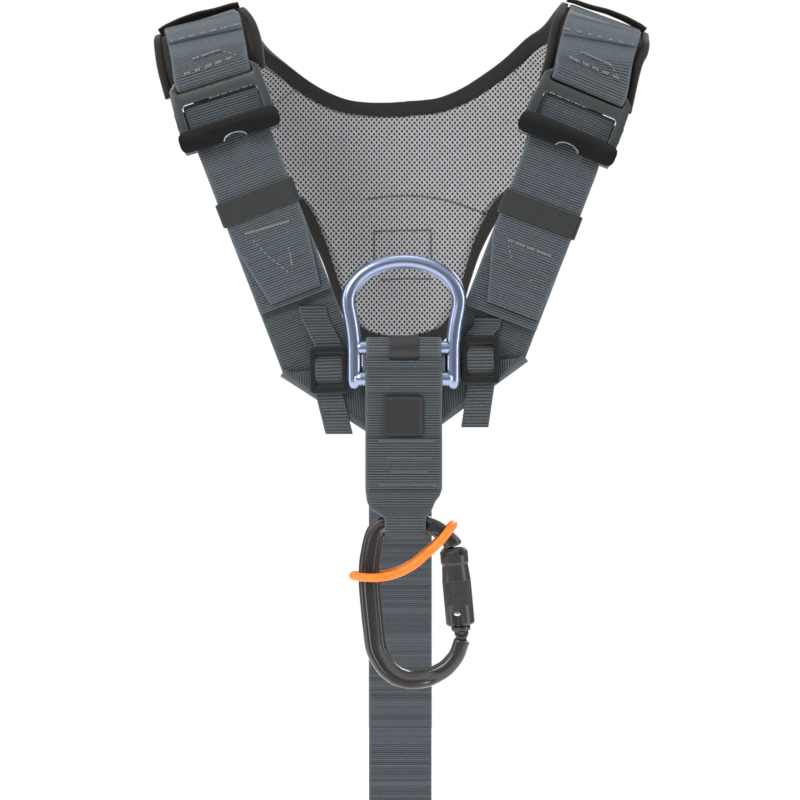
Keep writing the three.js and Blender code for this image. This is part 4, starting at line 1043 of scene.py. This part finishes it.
def build_centre_web():
    """The webbing from the ring's lower bar down to the carabiner's eye and up again behind."""
    eye = CARABINER_BAR / 2 + 3 * GAP + ROLL_T / 2
    rows = [cross_row(BACK_RUN_Y, LOWER_BAR_Z - 14, HALF_WEB)]
    rows += circle_rows(LOWER_BAR_R + GAP + ROLL_T / 2, LOWER_BAR_Z,
                        [350, 20, 50, 80, 110, 140, 170, 200, 228], HALF_WEB)
    rows.append(cross_row(FRONT_RUN_Y - 0.9, LOWER_BAR_Z - 7.6, HALF_WEB))
    rows.append(cross_row(FRONT_RUN_Y, LOWER_BAR_Z - 10, HALF_WEB))
    rows.append(cross_row(FRONT_RUN_Y, EYE_Z + 21, HALF_WEB))
    rows += [cross_row(FRONT_RUN_Y, EYE_Z + up, half, shift) for up, half, shift in NECK]
    rows += circle_rows(eye, EYE_Z, range(150, 391, 30), EYE_HALF, EYE_Y, EYE_SHIFT)
    rows += [cross_row(BACK_RUN_Y, EYE_Z + up, half, shift) for up, half, shift in NECK[::-1]]
    rows.append(cross_row(BACK_RUN_Y, EYE_Z + 21, HALF_WEB))
    rows.append(rows[0])
    piece("centre_web", strip(rows, thickness=ROLL_T, soften=0.6), DARK_WEB, "centre_webbing")


def build_centre_flap():
    """The flap sewn on the front of the centre webbing, and the webbing between the ring's bars."""
    flap_y = FRONT_RUN_Y - ROLL_T / 2 - 0.75
    rows = [cross_row(flap_y, z, HALF_WEB - less) for z, less in (
        (LOWER_BAR_Z - 35, 0), (EYE_Z + 26, 0), (EYE_Z + 22.5, 0.4), (EYE_Z + 20.5, 1.6))]
    flap = piece("centre_flap", strip(rows, thickness=1.5, out=(0, -1, 0), soften=0.2), DARK_WEB)
    between_y = RING_Y - 2.5
    rows = [cross_row(between_y + back, z, BETWEEN_HALF) for z, back in (
        (UPPER_BAR_Z - 3, 1.5), (UPPER_BAR_Z - 7, 0), (LOWER_BAR_Z + 5, 0), (LOWER_BAR_Z + 2, 1.5))]
    piece("between_bars", strip(rows, thickness=1.6, soften=0.5), WEB)
    return flap


PATCH_RINGS = [(1.0, 0.0), (1.0, 0.7), (0.985, 0.92), (0.95, 1.0), (0.9, 1.0), (0.875, 0.9),
               (0.865, 0.7), (0.8, 0.68), (0.4, 0.7), (0.02, 0.7)]  # shares of its size and thickness


def build_patch():
    """The square rubber patch with its raised rim, bare."""
    place = vec(RING_MIDDLE - 0.4, FRONT_RUN_Y - ROLL_T / 2 - GAP, LOWER_BAR_Z - 10 - PATCH / 2)
    rings = []
    for share, out in PATCH_RINGS:
        half = PATCH / 2 * share
        corner = max(2.0 - (1 - share) * PATCH / 2, 0.4) if share > 0.3 else half * 0.9
        rings.append([place + vec(x, -PATCH_T * out, z) for x, z in rounded_box(half, half, corner, 0, 5)])
    piece("patch_face", skin(rings), RUBBER, "centre_patch")


def build_dorsal():
    y = BACK_Y + PAD_T / 2 + WEB_T + 2 * GAP + WEB_T / 2
    rows = [(vec(-DORSAL_W / 2 - 1, y, z), vec(DORSAL_W / 2 - 1, y, z))
            for z in (-0.42 * YOKE_DROP, -YOKE_DROP, -DORSAL_END)]
    piece("dorsal_web", strip(rows, pitch=DORSAL_PITCH, relief=0.16), DORSAL, "dorsal_strap")


# ---------- metal


def build_ring():
    """The D-ring's bow, thinner at its two ends, and its two bars."""
    widest, foot = RING_TOP_Z - RING_ARCH, RING_TOP_Z - RING_H + 1.2

    def at(x, z):
        return vec(RING_MIDDLE + x, RING_Y, z)

    leg = [(RING_LEG, foot), (RING_LEG, RING_TOP_Z - RING_STRAIGHT),
           (RING_LEG + RING_FLARE, RING_TOP_Z - RING_WAIST)]
    line = [at(-x, z) for x, z in leg]
    for k in range(25):
        angle = math.pi * (1 - k / 24)
        line.append(at(RING_HALF_W * math.cos(angle), widest + RING_ARCH * math.sin(angle)))
    line += [at(x, z) for x, z in leg[::-1]]
    path = softened(resampled(line, 1.0), 3.0)
    thin_steps = 6

    def section(share, angle):
        end = min(share, 1 - share) * len(path)
        r = RING_BAR / 2 * (1 - 0.45 * max(0, 1 - end / thin_steps) ** 2.2)
        return r * np.cos(angle), r * np.sin(angle)

    parts = [tube(path, 0, sides=28, section=section)]
    for z, r in ((UPPER_BAR_Z, UPPER_BAR_R), (LOWER_BAR_Z, LOWER_BAR_R)):
        parts.append(tube(resampled([at(-RING_LEG, z), at(RING_LEG, z)], 4.0), r, sides=24))
    piece("ring_bar", merged(parts), BLUE_METAL, "d_ring")


CARABINER_PATH = [  # across and down as shares of its height, and the bar's width
    (0.373, 0.739, 9.2), (0.341, 0.842, 9.4), (0.267, 0.927, 10), (0.155, 0.985, 10.6),
    (0.039, 1.0, 11), (-0.045, 0.975, 11.4), (-0.115, 0.915, 12), (-0.178, 0.805, 12.4),
    (-0.2, 0.61, 12.6), (-0.22, 0.395, 12.6), (-0.22, 0.25, 12.4), (-0.2, 0.125, 12),
    (-0.182, 0.05, 11.4), (-0.15, 0.01, 10.8), (-0.12, 0, 10.4), (0.15, 0, 10.2),
    (0.215, 0.025, 10.2), (0.256, 0.062, 9.8), (0.294, 0.1, 10), (0.3146, 0.1217, 11), (0.3167, 0.1433, 11),
]


def carabiner_point(across, down):
    return vec(RING_MIDDLE + across * CARABINER_H, EYE_Y, EYE_Z - down * CARABINER_H)


TILT = math.radians(GATE_TILT)
GATE_AXIS = vec(-math.sin(TILT), 0, math.cos(TILT))
GATE_PIVOT = carabiner_point(*CARABINER_PATH[0][:2]) + GATE_AXIS * (GATE_R + GAP)
TANG_W, TANG_T, TANG_H = 5.4, 3.0, 2 * GATE_R + 4
PIN_R = 1.5
COLLAR = [(GATE_R + 0.1, 1.0), (4.9, 0.9), (5.5, 1.5), (5.6, 2.0), (5.6, 4.0), (GATE_R + 0.1, 4.0)]


def build_carabiner_bar():
    """The body's bar: nearly square in section, with a groove along the faces of its spine."""
    knots = np.array([carabiner_point(a, d) for a, d, _ in CARABINER_PATH])
    widths = [w for _, _, w in CARABINER_PATH]
    steps = np.linalg.norm(np.diff(knots, axis=0), axis=1)
    length = np.concatenate([[0], np.cumsum(steps)])
    spacing = 0.8
    path = softened(resampled(knots, spacing), 3.2)
    run = np.linspace(0, length[-1], len(path))
    width_at = np.interp(run, length, widths)
    share_at = run / length[-1]
    spine = smoothstep(0.12, 0.2, share_at) * (1 - smoothstep(0.86, 0.93, share_at))

    def section(share, angle):
        i = int(round(share * (len(path) - 1)))
        c, s = np.cos(angle), np.sin(angle)
        u = np.sign(c) * np.abs(c) ** 0.75 * width_at[i] / 2
        v = np.sign(s) * np.abs(s) ** 0.75 * CARABINER_BAR / 2
        groove = 0.42 * spine[i] * (1 - smoothstep(0.34, 0.6, np.abs(c) ** 0.75))
        end = min(i, len(path) - 1 - i) * spacing
        close = 1 - 0.12 * max(0, 1 - end / 1.2) ** 2
        return u * close, v * (1 - groove) * close

    piece("carabiner_bar", tube(path, 0, sides=40, section=section), GREY_METAL, "carabiner_body")


def build_gate():
    """The gate with its collar, and the body's tang and pin that it turns on."""
    tang = bmesh.new()
    bmesh.ops.create_cube(tang, size=1.0)
    for v in tang.verts:
        v.co = (v.co[0] * TANG_W, v.co[1] * TANG_T, v.co[2] * TANG_H)
    bmesh.ops.bevel(tang, geom=tang.edges[:], offset=0.5, segments=3, profile=0.5, affect="EDGES")
    x, y, z = np.array([v.co[:] for v in tang.verts]).T
    faces = [[v.index for v in face.verts] for face in tang.faces]
    tang.free()
    turned = np.stack([x * math.cos(TILT) - z * math.sin(TILT), y,
                       x * math.sin(TILT) + z * math.cos(TILT)], axis=1)
    piece("gate_tang", (turned + GATE_PIVOT - GATE_AXIS * 4, faces, {}), GREY_METAL)
    pin = resampled([GATE_PIVOT - vec(0, GATE_R, 0), GATE_PIVOT + vec(0, GATE_R, 0)], 2.0)
    piece("gate_pin", tube(pin, PIN_R, sides=20, across=(0, 0, 1)), GREY_METAL)
    remade("carabiner_gate", GREY_METAL, 0.35, body="gate", segments=2)
    piece("gate_collar", lathe(COLLAR, 64, GATE_PIVOT, GATE_AXIS), GREY_METAL, body="gate")


KNURL_LOW, KNURL_HIGH = 12.0, 26.0
SLEEVE_KNOTS = [  # height, and the radius as a share of the sleeve's with a length added
    (0, 0.94, -0.7), (0.6, 0.94, 0), (1.2, 1, 0), (26, 1, 0), (33, 0.9, 0.3), (35.5, 0.9, 0),
    (36.2, 0.9, 0.2), (37, 0.97, 0), (SLEEVE_L - 2, 0.97, 0), (SLEEVE_L, 0.97, -1.5),
]


def build_sleeve():
    """The locking sleeve: knurled band, window with a dot, and notched upper end."""
    inner = GATE_R + GAP
    knots_z = [z for z, _, _ in SLEEVE_KNOTS]
    knots_r = [SLEEVE_R * share + more for _, share, more in SLEEVE_KNOTS]
    profile = [(inner, 0.0)]
    profile += [(float(np.interp(z, knots_z, knots_r)), float(z)) for z in np.linspace(0, SLEEVE_L, 150)]
    profile += [(inner, SLEEVE_L)]
    sides = 216
    raised = []

    def shape(r, z, angle):
        raised.append(np.ones(sides))
        if r <= inner + 0.01:
            return np.full(sides, inner)
        radius = np.full(sides, float(r))
        if KNURL_LOW < z < KNURL_HIGH:
            cross = np.abs(np.sin(18 * angle + 1.57 * z) * np.sin(18 * angle - 1.57 * z))
            raised[-1] = smoothstep(0.0, 0.45, cross)
            radius = radius - 0.5 * (1 - raised[-1])
        around = np.abs((angle - 0.18 + math.pi) % (2 * math.pi) - math.pi)
        window = (around < 0.38) & (abs(z - 4.5) < 4.3)
        radius = np.where(window, inner + 0.6, radius)
        notch = (around > 0.5) & (around < 0.95) & (z > SLEEVE_L - 4)
        return np.where(notch, inner + 1.0, radius)

    p, f, _ = lathe(profile, sides, GATE_PIVOT + GATE_AXIS * SLEEVE_START, GATE_AXIS, shape=shape)
    # the rib mark is low in the knurl's valleys, where the sleeve material paints shade
    marks = {"rib": np.array(raised), "tone": np.zeros(len(raised) * sides)}
    piece("sleeve_tube", (p, f, marks), SLEEVE_METAL, "carabiner_sleeve", "sleeve")

    dot = GATE_PIVOT + GATE_AXIS * (SLEEVE_START + 7.2) + vec(-1.4, -GATE_R - 1.3, 0)
    rings = [[dot + vec(2.6 * share * math.cos(t), -out, 1.5 * share * math.sin(t)) for t in circle(20)]
             for share, out in ((1.0, 0.0), (0.95, 0.35), (0.7, 0.5), (0.05, 0.55))]
    piece("sleeve_dot", skin(rings), SILVER, body="sleeve")


def build_silicone():
    """The silicone ring, stretched slantwise round the body and the sleeve."""
    half = SLEEVE_R + 0.5 + BAND_RING / 2
    run = [(-0.324, 0.33), (-0.18, 0.335), (-0.1, 0.325), (-0.02, 0.3), (0.07, 0.25), (0.15, 0.18),
           (0.225, 0.11), (0.317, 0.0)]
    path = [carabiner_point(a, d) for a, d in run]
    shifted = lambda p, y: vec(p[0], y, p[2])

    def arc(end, near, turns):
        return [shifted(near + (end - near) * math.sin(math.radians(t)),
                        EYE_Y - half * math.cos(math.radians(t))) for t in turns]

    line = [shifted(p, EYE_Y - half) for p in path[1:-1]]
    line += arc(path[-1], path[-2], range(15, 166, 15))
    line += [shifted(p, EYE_Y + half) for p in path[1:-1][::-1]]
    line += arc(path[0], path[1], range(165, 14, -15))
    line.append(line[0])
    path = softened(resampled(line, 0.8)[:-1], 2.2, closed=True)
    shape = tube(path, BAND_RING / 2, sides=20, across=(0.35, 0, 1), closed=True)
    piece("silicone_band", shape, SILICONE, "silicone_ring")


# ---------- stitches


def surface_points(made, pixels, lift):
    """Places on the front of a piece, one for each pixel of the photograph's frame."""
    co = np.zeros(len(made.data.vertices) * 3)
    made.data.vertices.foreach_get("co", co)
    co = co.reshape(-1, 3) / MM
    px, py = to_pixels(co)
    found = []
    for x, y in pixels:
        away = (px - x) ** 2 + (py - y) ** 2
        near = np.where(away < max(away.min() * 1.5, 4.0))[0]
        depth = co[near, 1].min()
        across, up = from_pixel(x, y, depth)
        found.append(vec(across, depth - lift, up))
    return found


def dash(a, b, radius):
    """A short stitch: a flattened spindle from a to b, lying across Y."""
    along = unit(b - a)
    depth = vec(0, 1, 0)
    side = unit(np.cross(along, depth))
    angle = circle(6)[:, None]
    return skin([a + (b - a) * share + radius * size * (np.cos(angle) * side + np.sin(angle) * depth)
                 for share, size in ((0.0, 0.45), (0.2, 1.0), (0.8, 1.0), (1.0, 0.45))])


def zigzag(start, end, amplitude, count):
    a, b = np.array(start, float), np.array(end, float)
    along = (b - a) / count
    side = unit(np.array([-(b - a)[1], (b - a)[0]])) * amplitude
    return [a + along * i + side * (0.5 if i % 2 else -0.5) for i in range(count + 1)]


def stitches(name, made, lines, look=THREAD, lift=0.12):
    """Sews lines of (pixels, dashed) on a piece: stitches with gaps, or joined up."""
    parts = []
    for pixels, dashed in lines:
        spots = surface_points(made, pixels, lift)
        if dashed:
            spots = resampled(spots, 1.6)
        starts, ends = (spots[0:-1:2], spots[1::2]) if dashed else (spots[:-1], spots[1:])
        parts += [dash(a, b, THREAD_R) for a, b in zip(starts, ends)]
    piece(name, merged(parts), look)


THREAD_R = 0.28
SEWING = [  # name, side, piece, lift, zigzags (start, end, amplitude, count), dashed lines
    ("loop", "left", "loop", 0.45, [((183, 75), (236, 56), 3.2, 44), ((193, 59), (219, 50), 2.4, 24)],
     [[(183, 73), (193, 60)], [(219, 50), (236, 55)]]),
    ("hem", "left", "over", 0.4, [((171, 41), (239, 24), 2.2, 60)], []),
    ("hem", "right", "over", 0.4, [((563, 28), (634, 45), 2.2, 60)], []),
    ("loop", "right", "loop", 0.45, [((569, 57), (620, 79), 3.2, 44), ((582, 52), (611, 65), 2.4, 26)],
     [[(570, 57), (582, 52)], [(611, 65), (619, 78)]]),
    ("tail", "left", "tail", 0.3, [((245, 234), (289, 221), 3.0, 36), ((289, 247), (292, 265), 1.6, 14)],
     [[(253, 240), (268, 256), (288, 272)]]),
    ("tail", "right", "tail", 0.3, [((508, 240), (551, 256), 3.0, 36)],
     [[(508, 245), (522, 293)], [(532, 279), (523, 293)]]),
]
TACKS = [(441, 379, 435), (458, 387, 431), (472, 391, 427), (485, 379, 437)]  # row, first and last column


def build_stitches(sides, centre):
    for name, side, key, lift, zigzags, dashed in SEWING:
        lines = [(zigzag(*z), False) for z in zigzags] + [(line, True) for line in dashed]
        stitches("sewing_" + name + "_" + side, sides[side][key], lines, lift=lift)
    rows = [(zigzag((x0, y), (x1, y), 2.6, int((x1 - x0) * 0.9)), False) for y, x0, x1 in TACKS]
    stitches("sewing_centre", centre, rows, TACK_THREAD)


# ---------- the scene


def build_camera():
    camera = bpy.data.cameras.new("camera")
    camera.sensor_width = 36
    camera.lens = camera.sensor_width * FAR / (PIXEL * 2 * HALF_PICTURE)
    made = linked("camera", camera)
    made.location = (LOOK_X * MM, -(FAR + HALF_DEPTH) * MM, LOOK_Z * MM)
    made.rotation_euler = (math.pi / 2, 0, 0)
    bpy.context.scene.camera = made
    bpy.context.scene.view_settings.view_transform = "Standard"


def build_stage():
    """A pale floor that glows a little."""
    pale, tree, shader = principled("pale_floor", grey(0.95), 0.9)
    set_inputs(tree, shader, {"Emission Color": grey(1.0), "Emission Strength": 0.45})
    floor_z, radius, sides = -0.56, 1.0, 96
    points = [(radius * math.cos(t), radius * math.sin(t), floor_z) for t in circle(sides)]
    mesh = bpy.data.meshes.new("floor")
    mesh.from_pydata(points, [], [list(range(sides))])
    mesh.materials.append(pale)
    linked("floor", mesh)


LIGHT_AIM = (0, 0, -0.2)
LIGHTS = [  # name, place, size and power
    ("key", (-0.9, -1.2, 0.7), (0.5, 1.0), 15),
    ("side_left", (-1.3, -0.3, -0.1), (0.3, 1.4), 6),
    ("side_right", (1.3, -0.5, 0.0), (0.3, 1.4), 8),
    ("top", (0.1, -0.2, 1.5), (1.0, 0.6), 4),
    ("back", (0.5, 1.4, 0.6), (0.9, 0.9), 12),
]


def area_light(name, place, size, power):
    light = bpy.data.lights.new(name, "AREA")
    light.shape = "RECTANGLE"
    light.size, light.size_y = size
    light.energy = power
    made = linked(name, light)
    made.location = place
    made.rotation_euler = (Vector(LIGHT_AIM) - Vector(place)).to_track_quat("-Z", "Y").to_euler()


def build_lights():
    """A studio sky that is darker at its horizon, white where the camera sees it, and the lamps."""
    world = bpy.data.worlds.new("studio")
    bpy.context.scene.world = world
    world.use_nodes = True
    tree = world.node_tree
    place = added(tree, "TexCoord").outputs["Generated"]
    parts = added(tree, "SeparateXYZ", {"Vector": place})
    height = added(tree, "MapRange", {"Value": parts.outputs["Z"], "From Min": -1.0})
    stops = [(0.0, grey(0.6)), (0.4, grey(0.3)), (0.55, grey(0.2)), (0.72, grey(0.7)), (1.0, grey(0.9))]
    sky = ramp(tree, height.outputs["Result"], stops)
    seen = added(tree, "LightPath").outputs["Is Camera Ray"]
    set_inputs(tree, tree.nodes["Background"], {"Color": coloured(tree, seen, sky, grey(1.0))})
    for light in LIGHTS:
        area_light(*light)


build_camera()
build_stage()
build_lights()
build_pad()
build_binding("neck_binding", "neck", -1)
build_binding("edge_binding", "edge", 1)
build_lining()
stitched = {name: build_shoulder(name) for name in SIDES}
build_chest_band()
build_upper_roll()
build_centre_web()
centre_flap = build_centre_flap()
build_patch()
build_dorsal()
build_ring()
build_carabiner_bar()
build_gate()
build_sleeve()
build_silicone()
build_stitches(stitched, centre_flap)
